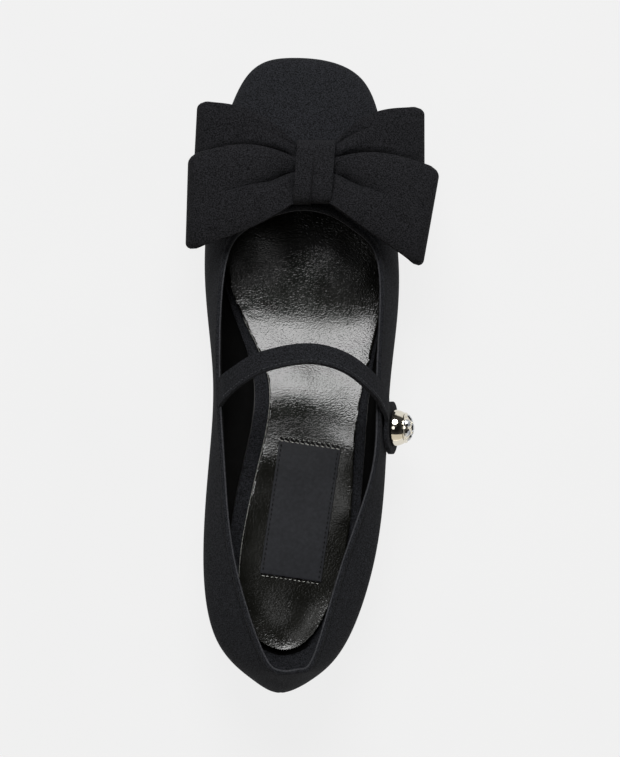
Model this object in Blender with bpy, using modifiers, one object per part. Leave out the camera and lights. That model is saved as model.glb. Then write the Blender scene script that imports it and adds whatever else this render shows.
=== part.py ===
"""Right-foot ballet flat with an instep strap and a double ribbon bow on the vamp.

The shoe is built on a last. Its sections run round the foot as a closed ring: from the back of
the heel along the lateral side to the toe, and back along the medial side. Each section is a curve
that starts at the feather edge, where upper and sole meet, goes out to the girth and then up to the
topline. Lengths are millimetres on the last, with +Y to the toe and +X to the lateral side, and MM
turns them into Blender's metres.
"""
import math

import bmesh
import bpy
import numpy as np
from mathutils import Vector
from mathutils.bvhtree import BVHTree

MM = 0.001

# Driving sizes of the last
LENGTH = 246.0
BALL_WIDTH = 75.7
COUNTER_HEIGHT = 64.0
HEEL_HEIGHT = 18.0
TOE_SPRING = 5.0
WALL = 1.8
GAP = 0.3
SHARP_EDGE = math.radians(40)

# Places along the sole, as shares of the length
HEEL_SEAT_END = 0.34
TREAD_START = 0.68
TREAD_END = 0.77
HEEL_BREAST = 0.205

# Layers of the bottom
OUTSOLE_THICKNESS = 3.0
OUTSOLE_MARGIN = 1.0
TOP_PIECE_THICKNESS = 3.0
HEEL_TAPER = 2.5
HEEL_TURN = 0.23
SOLE_COLUMNS = 64
SOLE_ACROSS = 4
HEEL_ROWS = 10
HEEL_CROWDING = 1.7
INSOLE_THICKNESS = 2.4
SOCK_THICKNESS = 1.0
LABEL_THICKNESS = 0.5
LABEL_WIDTH = 24.0
LABEL_LENGTH = 52.0
LABEL_CENTRE = (-0.5, 69.5)
LABEL_TURN = math.radians(-8.4)
LABEL_ROWS = 8

# Sections of the last. The x columns are hundredths of the ball width, the y columns hundredths of
# the length and the z columns hundredths of the counter height. Inset is how far the feather edge
# lies inside the girth and crown is the handle of the curve above the girth, both in millimetres.
# Rise is the slope of the wall at the topline, in degrees.
LAST_COLUMNS = ("girth_x", "girth_y", "girth_z", "inset",
                "top_x", "top_y", "top_z", "rise", "crown")
LAST = (
    ("heel back", (-11.2, 0, 56, 8.5, -8, 3.8, 100, 76, 10)),
    ("heel turn, lateral", (5.5, 2.2, 55.7, 8.2, -1.5, 4.1, 98.4, 72, 9.7)),
    ("heel corner, lateral", (23.2, 8.3, 55, 7.5, 6.5, 6.8, 94.5, 66, 9)),
    ("heel side, lateral", (37.5, 21.5, 52, 6.5, 20.5, 20.5, 84, 62, 8)),
    ("shank, lateral", (43, 36, 44, 7.2, 36.5, 35.5, 75, 72, 8)),
    ("waist, lateral", (46.2, 50, 34, 5.7, 38.8, 49.5, 69, 74, 9)),
    ("ball, lateral", (50.7, 65.5, 23, 3.1, 40, 66, 62.5, 62, 12)),
    ("vamp, lateral", (44.6, 83, 21, 3.2, 28.5, 72, 61, 34, 12)),
    ("toe, lateral", (31.5, 96.7, 22, 3, 15.5, 74.5, 61, 22, 9.5)),
    ("toe tip", (-3.5, 100, 22.5, 3, 0, 75.5, 61, 20, 8.5)),
    ("toe, medial", (-28.9, 96.6, 22, 3, -15.5, 74.5, 61, 22, 9.5)),
    ("vamp, medial", (-44, 83, 21, 3.5, -29, 72.5, 61, 34, 12)),
    ("ball, medial", (-49.5, 66, 24, 5, -40.5, 66.5, 63, 64, 12)),
    ("waist, medial", (-45.5, 50, 45, 14.5, -43.5, 49.5, 71, 84, 7)),
    ("shank, medial", (-47.5, 36, 48, 12.5, -41, 35, 78, 76, 8)),
    ("heel side, medial", (-50.3, 20.5, 52, 8, -36, 21, 87, 66, 8)),
    ("heel corner, medial", (-43.7, 8.3, 55, 7.5, -23, 7.8, 95, 66, 9)),
    ("heel turn, medial", (-26, 2.2, 55.7, 8.2, -14.8, 4.1, 98.4, 72, 9.7)),
)
TOPLINE_HANDLE = 0.32
TURN_STEP = 1e-4
INWARD_STEP = 0.07
FEATHER_OUT = 1.2
FEATHER_UP = 0.5
UPPER_COLUMNS = 80
UNDER_ROWS = (0.0, 0.4, 0.75)
WALL_ROWS = (0.0, 0.1, 0.2, 0.31, 0.43, 0.56, 0.69, 0.82)
BINDING_WIDTH = 2.6
BINDING_STEP = 0.3

# How far the sock lining lies inside the feather edge, at the named places round the ring
SOCK_COLUMNS = ("turn", "inset")
SOCK_MARGIN = (
    ("heel", (0.0, 7.4)),
    ("heel corner, lateral", (0.1, 5.2)),
    ("shank, lateral", (0.23, 5.2)),
    ("waist, lateral", (0.28, 3.6)),
    ("ball, lateral", (0.33, 2.3)),
    ("toe", (0.5, 3.6)),
    ("ball, medial", (0.67, 4.0)),
    ("waist, medial", (0.73, 7.0)),
    ("shank, medial", (0.785, 7.0)),
    ("heel corner, medial", (0.9, 5.6)),
)

# Strap: turns of the ring between which it grows out of the medial topline, its middle line over
# the instep as x, y and z, and where and how far off it lies on the lateral wall
STRAP_THICKNESS = 2.0
STRAP_HALF_WIDTH = 4.0
STRAP_ROOT_FRONT = 0.724
STRAP_ROOT_BACK = 0.74
STRAP_FLARE = 13.0
STRAP_SLOPE = math.radians(24)
STRAP_LINE = (
    ("medial root", (-31.6, 117.4, 46.8)),
    ("medial rise", (-27.5, 120.2, 53.5)),
    ("medial shoulder", (-16.5, 126.8, 62.0)),
    ("crown", (0.8, 130.2, 66.5)),
    ("lateral shoulder", (15.0, 127.0, 62.5)),
    ("lateral fall", (26.2, 118.8, 53.4)),
)
STRAP_SEAT_COLUMNS = ("x", "y", "z", "lift")
STRAP_SEAT = (
    ("topline", (31.5, 111.4, 44.0, 1.1)),
    ("below the topline", (34.4, 106.4, 38.5, 0.8)),
    ("button", (35.0, 101.8, 32.0, 0.9)),
)
TAB_RADIUS = 10.2
TAB_ROWS = 9
TAB_END = math.radians(168)
BAND_ROWS = 24
LINE_STEPS = 24
STRAP_ACROSS = 6

BUTTON_RADIUS = 7.0
BUTTON_PROUD = 8.6
BUTTON_SEGMENTS = 20
BUTTON_RINGS = 12

# Bow: each loop is a ribbon that leaves the knot, folds at its outer end and comes back beneath.
# Bends and tips are plan points of a loop's front and rear edge, and puff is the swell of its upper
# leaf. The under leaf swells by a share of that.
RIBBON = 1.9
KNOT_CENTRE = (4.2, 200.0)
KNOT_HALF_WIDTH = 7.3
KNOT_HALF_LENGTH = 11.4
KNOT_WALL = 1.8
KNOT_ROUNDNESS = 4.5
KNOT_COLUMNS = 4
KNOT_ROWS = 28
LEAF_SPACE = 1.5
UNDER_LEAF = 0.65
LOOP_COLUMNS = ("layer", "root_y", "root_half",
                "front_bend_x", "front_bend_y", "front_tip_x", "front_tip_y",
                "rear_bend_x", "rear_bend_y", "rear_tip_x", "rear_tip_y",
                "front_tip_z", "rear_tip_z", "puff", "pleat")
LOOPS = (
    ("bow_back_medial", (0, 202, 6.8, -20, 229, -39.5, 226.5, -20, 196, -41, 198, 30, 31, 3.5, 0.8)),
    ("bow_back_lateral", (0, 202, 6.8, 24, 227.5, 46.5, 224.5, 26, 194, 46.5, 196, 30, 31, 3.5, 0.8)),
    ("bow_front_medial", (1, 198, 6.8, -22, 214.5, -43, 205, -18, 178, -44, 170.5, 44, 45, 5.6, 1.6)),
    ("bow_front_lateral", (1, 198, 6.8, 30, 210.5, 51.5, 200, 26, 177, 45, 164, 44, 45, 5.6, 1.6)),
)
LOOP_ROWS = 8
LOOP_ACROSS = 8
SWELL_REACH = 0.6
FOLD_POWER = 26
CORNER_POWER = 6
PLEAT_WIDTH = 0.13
CORNER_ROUND = 0.05

# The part's origin is under the middle of its box
MIDDLE_X = 3.3
MIDDLE_Y = LENGTH / 2


def closed_spline(values, turns):
    """Smooth closed curve through the rows of values, read at turns from 0 to 1."""
    count = len(values)
    ring = np.eye(count)
    system = 4 * ring + np.roll(ring, 1, axis=0) + np.roll(ring, -1, axis=0)
    slopes = np.linalg.solve(system, 3 * (np.roll(values, -1, axis=0) - np.roll(values, 1, axis=0)))
    place = np.asarray(turns, dtype=float) % 1.0 * count
    index = np.floor(place).astype(int) % count
    after = (index + 1) % count
    share = (place - np.floor(place))[:, None]
    return hermite(values[index], values[after], slopes[index], slopes[after], share)


def hermite(start, end, start_slope, end_slope, share):
    """Cubic from start to end with the given slopes."""
    square = share * share
    cube = square * share
    return ((2 * cube - 3 * square + 1) * start + (cube - 2 * square + share) * start_slope
            + (3 * square - 2 * cube) * end + (cube - square) * end_slope)


def smooth_step(value):
    """Ease from 0 to 1."""
    value = np.clip(value, 0.0, 1.0)
    return value * value * (3 - 2 * value)


def tread_z(y):
    """Height of the outsole's under side: heel seat, shank, flat tread and toe spring."""
    share = np.asarray(y, dtype=float) / LENGTH
    shank = HEEL_HEIGHT * smooth_step((TREAD_START - share) / (TREAD_START - HEEL_SEAT_END))
    spring = TOE_SPRING * (np.clip(share - TREAD_END, 0, None) / (1 - TREAD_END)) ** 2
    return shank + spring


def named(values, columns, *names):
    """The named columns of a table's values."""
    return values[:, [columns.index(name) for name in names]]


def last_sections(turns):
    """Girth, topline and feather points of the last, with the slopes there, for each turn."""
    table = np.array([row for _, row in LAST], dtype=float)
    scale = {"x": BALL_WIDTH / 100, "y": LENGTH / 100, "z": COUNTER_HEIGHT / 100}
    for column, name in enumerate(LAST_COLUMNS):
        table[:, column] *= scale.get(name[-1], 1.0) if "_" in name else 1.0
    values = closed_spline(table, turns)
    ahead = closed_spline(table, turns + TURN_STEP) - closed_spline(table, turns - TURN_STEP)
    girth = named(values, LAST_COLUMNS, "girth_x", "girth_y", "girth_z")
    top = named(values, LAST_COLUMNS, "top_x", "top_y", "top_z")
    inset = named(values, LAST_COLUMNS, "inset")
    crown = named(values, LAST_COLUMNS, "crown")
    rise = np.radians(named(values, LAST_COLUMNS, "rise"))
    # Directions over a longer stretch keep the feather edge round where the heel is pointed
    stretch = closed_spline(table, turns + INWARD_STEP) - closed_spline(table, turns - INWARD_STEP)
    inward = plan_normal(named(stretch, LAST_COLUMNS, "girth_x", "girth_y"))
    feather = girth + inset * inward
    feather[:, 2] = tread_z(feather[:, 1]) + OUTSOLE_THICKNESS + GAP
    along = named(ahead, LAST_COLUMNS, "top_x", "top_y", "top_z")
    up = np.array((0.0, 0.0, 1.0))
    lean = plan_normal(along) * np.cos(rise) + up * np.sin(rise)
    outward = np.cross(along, lean)
    outward /= np.linalg.norm(outward, axis=1)[:, None]
    return {"girth": girth, "top": top, "crown": crown, "inset": inset,
            "feather": feather, "inward": inward, "lean": lean, "outward": outward}


def plan_normal(along):
    """Level unit direction to the inner side of a loop that runs along the given directions."""
    inward = np.column_stack((-along[:, 1], along[:, 0], np.zeros(len(along))))
    return inward / np.linalg.norm(inward, axis=1)[:, None]


def upper_surface(turns):
    """Rows of points on the outer face of the upper, from the feather edge up to the topline."""
    last = last_sections(turns)
    girth, top, feather = last["girth"], last["top"], last["feather"]
    up = np.zeros_like(girth)
    up[:, 2] = 1.0
    drop = girth[:, 2:3] - feather[:, 2:3]
    out = girth - feather
    out[:, 2] = 0.0
    rows = []
    feather_slope = out * FEATHER_OUT + up * drop * FEATHER_UP
    for share in UNDER_ROWS:
        rows.append(hermite(feather, girth, feather_slope, up * drop * FEATHER_OUT, share))
    lean, outward = last["lean"], last["outward"]
    chord = np.linalg.norm(top - girth, axis=1)[:, None]
    end_slope = lean * chord * 3 * TOPLINE_HANDLE
    for share in WALL_ROWS:
        rows.append(hermite(girth, top, up * last["crown"] * 3, end_slope, share))
    rows.append(top - lean * BINDING_WIDTH)
    rows.append(top - lean * (BINDING_WIDTH - BINDING_STEP) + outward * BINDING_STEP)
    rows.append(top + outward * BINDING_STEP)
    return np.array(rows)


def inset_loop(turns, inset):
    """The feather edge drawn inwards, as points in plan."""
    last = last_sections(turns)
    return last["feather"][:, 0:2] + last["inward"][:, 0:2] * np.reshape(inset, (-1, 1))


def insole_inset(turns):
    """Room that the foot of the wall takes inside the feather edge: a slanted wall takes less."""
    last = last_sections(turns)
    drop = last["girth"][:, 2:3] - last["feather"][:, 2:3]
    slant = np.arctan2(drop * FEATHER_UP, last["inset"] * FEATHER_OUT)
    return WALL * np.sin(slant) + 2 * GAP


def sock_inset(turns):
    """Inset of the sock lining round the ring, eased between the named places."""
    table = np.array([row for _, row in SOCK_MARGIN], dtype=float)
    place = np.append(named(table, SOCK_COLUMNS, "turn"), 1.0)
    inset = named(table, SOCK_COLUMNS, "inset")[:, 0]
    inset = np.append(inset, inset[0])
    index = np.clip(np.searchsorted(place, turns, side="right") - 1, 0, len(table) - 1)
    share = (turns - place[index]) / (place[index + 1] - place[index])
    return inset[index] + (inset[index + 1] - inset[index]) * smooth_step(share)


def make_material(name, colour, roughness, metallic=0.0):
    """Principled material in one colour."""
    material = bpy.data.materials.new(name)
    material.use_nodes = True
    shader = material.node_tree.nodes["Principled BSDF"]
    shader.inputs["Base Color"].default_value = (*colour, 1.0)
    shader.inputs["Roughness"].default_value = roughness
    shader.inputs["Metallic"].default_value = metallic
    return material


def add_object(name, shape, material):
    """Turn a bmesh in millimetres into a named object of the shoe."""
    bmesh.ops.scale(shape, vec=(MM, MM, MM), verts=shape.verts)
    mesh = bpy.data.meshes.new(name)
    shape.to_mesh(mesh)
    shape.free()
    mesh.materials.append(material)
    mesh.shade_smooth()
    mesh.set_sharp_from_angle(angle=SHARP_EDGE)
    piece = bpy.data.objects.new(name, mesh)
    parts.objects.link(piece)
    piece.parent = shoe
    return piece


def add_thickness(piece, thickness, offset):
    """Give an open surface its wall."""
    wall = piece.modifiers.new("wall", "SOLIDIFY")
    wall.thickness = thickness * MM
    wall.offset = offset
    wall.use_even_offset = True
    return wall


def draped_grid(points, close_round=False):
    """A grid whose vertices are laid on an array of points, with rows first."""
    rows, columns = points.shape[:2]
    shape = bmesh.new()
    grid = bmesh.ops.create_grid(shape, x_segments=columns - 1, y_segments=rows - 1, size=1.0)
    for vertex in grid["verts"]:
        column = round((vertex.co.x + 1) / 2 * (columns - 1))
        row = round((vertex.co.y + 1) / 2 * (rows - 1))
        vertex.co = points[row, column]
    if close_round:
        bmesh.ops.remove_doubles(shape, verts=shape.verts, dist=0.01)
    return shape


def sole_turns():
    """Even turns of the ring for the layers of the bottom."""
    return np.arange(SOLE_COLUMNS) / SOLE_COLUMNS


def ladder(loop):
    """Rows of points from the lateral to the medial half of a closed plan loop."""
    half = len(loop) // 2
    lateral = loop[:half + 1]
    medial = np.vstack((loop[:1], loop[:half - 1:-1]))
    shares = np.linspace(0, 1, SOLE_ACROSS + 1)[None, :, None]
    return lateral[:, None, :] * (1 - shares) + medial[:, None, :] * shares


def slab(loop, under_z, over_z):
    """Closed solid between two height functions of y, over a plan loop."""
    plan = ladder(loop)
    under = np.dstack((plan, under_z(plan[:, :, 1])))
    shape = draped_grid(under, close_round=True)
    bmesh.ops.dissolve_degenerate(shape, edges=shape.edges, dist=0.001)
    bmesh.ops.recalc_face_normals(shape, faces=shape.faces)
    lifted = bmesh.ops.extrude_face_region(shape, geom=shape.faces[:], use_keep_orig=True)
    for item in lifted["geom"]:
        if isinstance(item, bmesh.types.BMVert):
            item.co.z = float(over_z(item.co.y))
    bmesh.ops.recalc_face_normals(shape, faces=shape.faces)
    return shape


def surface_tree(shape):
    """Search tree of a bmesh, for seating pieces on it."""
    bmesh.ops.recalc_face_normals(shape, faces=shape.faces)
    return BVHTree.FromBMesh(shape)


def height_above(tree, x, y):
    """Height of the upper's outer face over a plan point."""
    hit = tree.ray_cast(Vector((x, y, 2 * COUNTER_HEIGHT)), Vector((0, 0, -1)))
    return hit[0].z


def outsole_top(y):
    return tread_z(y) + OUTSOLE_THICKNESS


def insole_under(y):
    return outsole_top(y) + GAP


def insole_top(y):
    return insole_under(y) + INSOLE_THICKNESS


def sock_under(y):
    return insole_top(y) + GAP


def sock_top(y):
    return sock_under(y) + SOCK_THICKNESS


def make_outsole(material):
    """Thin leather sole, a little proud of the feather edge."""
    edge = inset_loop(sole_turns(), np.full(SOLE_COLUMNS, -OUTSOLE_MARGIN))
    add_object("outsole", slab(edge, tread_z, outsole_top), material)


def heel_plan(grow):
    """Rows of plan points across the heel, from its back to the straight breast."""
    turns = np.linspace(0, HEEL_TURN, HEEL_ROWS * 4)
    places = np.linspace(0, 1, HEEL_ROWS + 1) ** HEEL_CROWDING
    sides = []
    for way in (turns, -turns):
        edge = inset_loop(way, np.full(len(way), -grow))
        y = edge[0, 1] + places * (HEEL_BREAST * LENGTH - edge[0, 1])
        sides.append(np.column_stack((np.interp(y, edge[:, 1], edge[:, 0]), y)))
    shares = np.linspace(0, 1, SOLE_ACROSS + 1)[None, :, None]
    return sides[0][:, None, :] * (1 - shares) + sides[1][:, None, :] * shares


def heel_solid(grow_under, grow_over, under_z, over_z):
    """Heel piece between two plans, one above the other."""
    under, over = heel_plan(grow_under), heel_plan(grow_over)
    shape = draped_grid(np.dstack((under, np.full(under.shape[:2], under_z))), close_round=True)
    bmesh.ops.recalc_face_normals(shape, faces=shape.faces)
    lifted = bmesh.ops.extrude_face_region(shape, geom=shape.faces[:], use_keep_orig=True)
    for item in lifted["geom"]:
        if isinstance(item, bmesh.types.BMVert):
            apart = np.linalg.norm(under - np.array(item.co.xy), axis=2)
            x, y = over[np.unravel_index(np.argmin(apart), apart.shape)]
            item.co = (x, y, over_z)
    bmesh.ops.recalc_face_normals(shape, faces=shape.faces)
    return shape


def make_heel(cover, rubber):
    """Low covered heel and the rubber top piece that it stands on."""
    foot = OUTSOLE_MARGIN - HEEL_TAPER
    block = heel_solid(foot, OUTSOLE_MARGIN, TOP_PIECE_THICKNESS + GAP, HEEL_HEIGHT - GAP)
    add_object("heel_block", block, cover)
    add_object("heel_top_piece", heel_solid(foot, foot, 0.0, TOP_PIECE_THICKNESS), rubber)


def make_footbed(cloth, kid, satin):
    """Insole board, sock lining on it, and the label sewn to the sock."""
    turns = sole_turns()
    insole = slab(inset_loop(turns, insole_inset(turns)), insole_under, insole_top)
    add_object("insole", insole, cloth)
    sock = slab(inset_loop(turns, sock_inset(turns)), sock_under, sock_top)
    add_object("sock", sock, kid)
    label = bmesh.new()
    bmesh.ops.create_grid(label, x_segments=2, y_segments=LABEL_ROWS, size=0.5)
    bmesh.ops.scale(label, vec=(LABEL_WIDTH, LABEL_LENGTH, 1.0), verts=label.verts)
    turn = np.array(((math.cos(LABEL_TURN), -math.sin(LABEL_TURN)),
                     (math.sin(LABEL_TURN), math.cos(LABEL_TURN))))
    for vertex in label.verts:
        x, y = turn @ np.array((vertex.co.x, vertex.co.y)) + np.array(LABEL_CENTRE)
        vertex.co = (x, y, float(sock_top(y)) + GAP)
    add_thickness(add_object("sock_label", label, satin), LABEL_THICKNESS, 1.0)


def make_upper(cloth):
    """Vamp and quarters as one open shell, with a binding stepped up along the topline."""
    turns = np.linspace(0, 1, UPPER_COLUMNS + 1)
    points = upper_surface(turns[:-1])
    closed = np.concatenate((points, points[:, :1]), axis=1)
    shape = draped_grid(closed, close_round=True)
    tree = surface_tree(shape)
    add_thickness(add_object("upper", shape, cloth), WALL, -1.0)
    return tree


def smooth_line(points):
    """Smooth open curve through a few points, as close points and their distances along it."""
    points = np.asarray(points, dtype=float)
    slopes = np.gradient(points, axis=0)
    fine = []
    for index in range(len(points) - 1):
        for share in np.linspace(0, 1, LINE_STEPS, endpoint=False):
            fine.append(hermite(points[index], points[index + 1],
                                slopes[index], slopes[index + 1], share))
    fine = np.array(fine + [points[-1]])
    reach = np.cumsum(np.linalg.norm(np.diff(fine, axis=0), axis=1))
    return fine, np.concatenate(([0.0], reach))


def seat_on_wall(tree, place, lift):
    """Middle of the strap's thickness where it lies on the wall nearest to a place."""
    point, normal, _, _ = tree.find_nearest(Vector(place))
    return np.array(point + normal * (lift + STRAP_THICKNESS / 2))


def strap_root():
    """Points along the rim of the medial topline, a gap above it, from back to front."""
    turns = np.linspace(STRAP_ROOT_BACK, STRAP_ROOT_FRONT, STRAP_ACROSS + 1)
    last = last_sections(turns)
    return last["top"] + last["lean"] * GAP * 2 + last["outward"] * (BINDING_STEP - WALL / 2)


def make_strap(tree, cloth):
    """Instep strap: flared root on the medial topline, band over the instep, round lateral tab."""
    table = np.array([row for _, row in STRAP_SEAT], dtype=float)
    places = named(table, STRAP_SEAT_COLUMNS, "x", "y", "z")
    lifts = named(table, STRAP_SEAT_COLUMNS, "lift")
    seat = [seat_on_wall(tree, place, lift) for place, lift in zip(places, lifts[:, 0])]
    fall = (seat[-1] - seat[-2]) / np.linalg.norm(seat[-1] - seat[-2])
    middle = [np.array(row) for _, row in STRAP_LINE] + seat + [seat[-1] + fall * TAB_RADIUS]
    fine, fine_reach = smooth_line(middle)
    button_at = fine_reach[-1 - LINE_STEPS]
    tab_angles = np.linspace(0, TAB_END, TAB_ROWS + 1)
    band = np.linspace(0, button_at - TAB_RADIUS, BAND_ROWS, endpoint=False)
    reach = np.concatenate((band, button_at - TAB_RADIUS * np.cos(tab_angles)))
    half = np.concatenate((np.zeros(BAND_ROWS), TAB_RADIUS * np.sin(tab_angles)))
    half = np.where(reach < button_at, np.maximum(half, STRAP_HALF_WIDTH), half)
    line = np.column_stack([np.interp(reach, fine_reach, fine[:, axis]) for axis in range(3)])
    ahead = np.gradient(line, reach, axis=0)
    ahead /= np.linalg.norm(ahead, axis=1)[:, None]
    slope = STRAP_SLOPE * np.sin(math.pi * np.clip(reach / button_at, 0, 1)) ** 2
    side = np.column_stack((np.zeros_like(slope), np.cos(slope), -np.sin(slope)))
    side -= np.sum(side * ahead, axis=1)[:, None] * ahead
    side /= np.linalg.norm(side, axis=1)[:, None]
    shares = np.linspace(-1, 1, STRAP_ACROSS + 1)[:, None]
    root_shift = strap_root() - (line[0] + side[0] * shares * STRAP_HALF_WIDTH)
    flare = np.clip(1 - reach / STRAP_FLARE, 0, None) ** 2
    points = np.array([line[row] + side[row] * shares * half[row] + root_shift * flare[row]
                       for row in range(len(reach))])
    shape = draped_grid(points)
    bmesh.ops.recalc_face_normals(shape, faces=shape.faces)
    add_thickness(add_object("strap", shape, cloth), STRAP_THICKNESS, 0.0)
    button_row = np.argmin(np.abs(reach - button_at))
    return Vector(seat[-1]), Vector(np.cross(side[button_row], -ahead[button_row]))


def make_button(middle, normal, metal):
    """Ball button, cut flat where it sits on the middle of the strap's tab."""
    seat = STRAP_THICKNESS / 2 + GAP
    shape = bmesh.new()
    bmesh.ops.create_uvsphere(shape, u_segments=BUTTON_SEGMENTS, v_segments=BUTTON_RINGS,
                              radius=BUTTON_RADIUS)
    cut = bmesh.ops.bisect_plane(shape, geom=shape.verts[:] + shape.edges[:] + shape.faces[:],
                                 plane_co=(0, 0, BUTTON_RADIUS - BUTTON_PROUD),
                                 plane_no=(0, 0, -1), clear_outer=True)
    rim = [item for item in cut["geom_cut"] if isinstance(item, bmesh.types.BMEdge)]
    bmesh.ops.holes_fill(shape, edges=rim)
    turn = normal.to_track_quat("Z", "Y").to_matrix()
    bmesh.ops.rotate(shape, cent=(0, 0, 0), matrix=turn, verts=shape.verts)
    centre = middle + normal * (seat + BUTTON_PROUD - BUTTON_RADIUS)
    bmesh.ops.translate(shape, vec=centre, verts=shape.verts)
    add_object("strap_button", shape, metal)


def vamp_ridge(tree, y):
    """Highest point of the vamp under the knot, at one place along it."""
    spots = (KNOT_CENTRE[0] + side * KNOT_HALF_WIDTH for side in (-1, 0, 1))
    return max(height_above(tree, x, y) for x in spots)


def leaf_height(layer):
    """Height of a loop's middle over the vamp, where the knot holds it."""
    under = UNDER_LEAF * LEAF_SPACE + RIBBON / 2
    over = LEAF_SPACE + RIBBON / 2
    return 3 * GAP + KNOT_WALL + under + layer * (over + GAP + under)


def make_loop(name, row, tree, cloth):
    """One ribbon loop: upper leaf, fold at the outer end and under leaf, gathered at the knot."""
    size = dict(zip(LOOP_COLUMNS, row))
    hand = math.copysign(1.0, size["front_tip_x"])
    edges = []
    for edge, side in (("rear", -1), ("front", 1)):
        y = size["root_y"] + side * size["root_half"]
        z = vamp_ridge(tree, y) + leaf_height(size["layer"])
        start = np.array((KNOT_CENTRE[0] + hand * KNOT_HALF_WIDTH, y, z))
        tip = np.array([size[f"{edge}_tip_{axis}"] for axis in "xyz"])
        bend = np.array((size[edge + "_bend_x"], size[edge + "_bend_y"], (z + tip[2]) / 2))
        edges.append((start, bend, tip))
    shares = np.linspace(0, 1, LOOP_ACROSS + 1)[:, None]
    belly = 0.5 + 0.5 * np.sin(math.pi * shares)
    crease = np.exp(-((shares - 0.5) / PLEAT_WIDTH) ** 2)
    leaf = []
    for reach in np.sin(np.linspace(0, 1, LOOP_ROWS + 1) * math.pi / 2):
        short = reach * (1 - CORNER_ROUND * np.abs(2 * shares - 1) ** CORNER_POWER)
        rear, front = [(1 - short) ** 2 * start + 2 * short * (1 - short) * bend + short ** 2 * tip
                       for start, bend, tip in edges]
        swell = LEAF_SPACE + (size["puff"] - LEAF_SPACE) * belly * smooth_step(reach / SWELL_REACH)
        swell -= size["pleat"] * (1 - reach) * math.sin(math.pi * reach) * crease
        fold = math.sqrt(max(0.0, 1 - reach ** FOLD_POWER))
        leaf.append((rear * (1 - shares) + front * shares, swell * fold))
    up = np.array((0.0, 0.0, 1.0))
    over = [middle + up * swell for middle, swell in leaf]
    under = [middle - up * swell * UNDER_LEAF for middle, swell in leaf]
    inside = np.array((hand * (KNOT_HALF_WIDTH - GAP), 0.0, 0.0))
    rows = [over[0] - inside] + over + under[-2::-1] + [under[0] - inside]
    shape = draped_grid(np.array(rows))
    bmesh.ops.recalc_face_normals(shape, faces=shape.faces)
    add_thickness(add_object(name, shape, cloth), RIBBON, 0.0)


def make_knot(tree, cloth):
    """Band round the roots of the loops, lying on the vamp."""
    low = GAP + KNOT_WALL / 2
    high = leaf_height(1) + LEAF_SPACE + RIBBON / 2 + 2 * GAP + KNOT_WALL / 2
    angles = np.linspace(0, 2 * math.pi, KNOT_ROWS + 1)
    power = 2 / KNOT_ROUNDNESS
    along = np.sign(np.cos(angles)) * np.abs(np.cos(angles)) ** power
    lift = np.sign(np.sin(angles)) * np.abs(np.sin(angles)) ** power
    y = KNOT_CENTRE[1] + KNOT_HALF_LENGTH * along
    ridge = np.array([vamp_ridge(tree, place) for place in y])
    z = ridge + low + (high - low) * (lift + 1) / 2
    columns = KNOT_CENTRE[0] + np.linspace(-1, 1, KNOT_COLUMNS) * KNOT_HALF_WIDTH
    points = np.array([np.column_stack((np.full_like(y, x), y, z)) for x in columns])
    shape = draped_grid(points, close_round=True)
    bmesh.ops.recalc_face_normals(shape, faces=shape.faces)
    add_thickness(add_object("bow_knot", shape, cloth), KNOT_WALL, 0.0)


for old in list(bpy.data.objects):
    bpy.data.objects.remove(old, do_unlink=True)
parts = bpy.data.collections.new("ballet_flat")
bpy.context.scene.collection.children.link(parts)
shoe = bpy.data.objects.new("shoe", None)
shoe.location = (-MIDDLE_X * MM, -MIDDLE_Y * MM, 0)
parts.objects.link(shoe)

crepe = make_material("black crepe", (0.012, 0.012, 0.014), 0.85)
sole_leather = make_material("black sole leather", (0.02, 0.02, 0.02), 0.45)
rubber = make_material("black rubber", (0.015, 0.015, 0.015), 0.7)
sock_leather = make_material("black glazed leather", (0.008, 0.008, 0.0075), 0.3)
label_satin = make_material("black label satin", (0.01, 0.01, 0.01), 0.5)
gilt_metal = make_material("pale gilt metal", (0.75, 0.70, 0.60), 0.12, 1.0)

make_outsole(sole_leather)
make_heel(crepe, rubber)
make_footbed(crepe, sock_leather, label_satin)
upper_tree = make_upper(crepe)
tab_middle, tab_normal = make_strap(upper_tree, crepe)
make_button(tab_middle, tab_normal, gilt_metal)
for loop_name, loop_row in LOOPS:
    make_loop(loop_name, loop_row, upper_tree, crepe)
make_knot(upper_tree, crepe)
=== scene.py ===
"""Looks of a black crepe ballet flat for the right foot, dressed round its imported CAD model.

Soft pieces are cut as flat grids and laid on the last that the CAD solids were worked out from.
Its sections run round the foot as a closed ring: from the back of the heel along the lateral side
to the toe, and back along the medial side. Lengths are millimetres on the last, with +Y to the toe
and +X to the lateral side, and to_row() turns them into the row frame's metres.
"""

import math

import bpy
import numpy as np
from mathutils import Matrix, Vector, noise
from mathutils.bvhtree import BVHTree


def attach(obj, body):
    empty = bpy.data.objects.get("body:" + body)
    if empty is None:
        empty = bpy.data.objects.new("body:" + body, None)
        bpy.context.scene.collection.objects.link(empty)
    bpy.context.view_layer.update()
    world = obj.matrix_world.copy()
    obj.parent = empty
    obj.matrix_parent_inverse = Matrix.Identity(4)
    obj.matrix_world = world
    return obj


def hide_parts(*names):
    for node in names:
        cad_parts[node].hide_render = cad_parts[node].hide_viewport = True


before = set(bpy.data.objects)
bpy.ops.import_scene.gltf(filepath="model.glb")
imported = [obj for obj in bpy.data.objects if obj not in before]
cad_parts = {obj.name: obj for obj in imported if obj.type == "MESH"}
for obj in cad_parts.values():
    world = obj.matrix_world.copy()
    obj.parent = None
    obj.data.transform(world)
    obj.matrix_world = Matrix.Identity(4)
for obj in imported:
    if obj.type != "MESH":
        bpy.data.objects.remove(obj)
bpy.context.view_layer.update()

MM = 0.001
ORIGIN_ON_LAST = np.array((3.3, 123.0, 0.0))
UP = np.array((0.0, 0.0, 1.0))
CORD_ANGLES = np.linspace(0, 2 * math.pi, 9)

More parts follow.
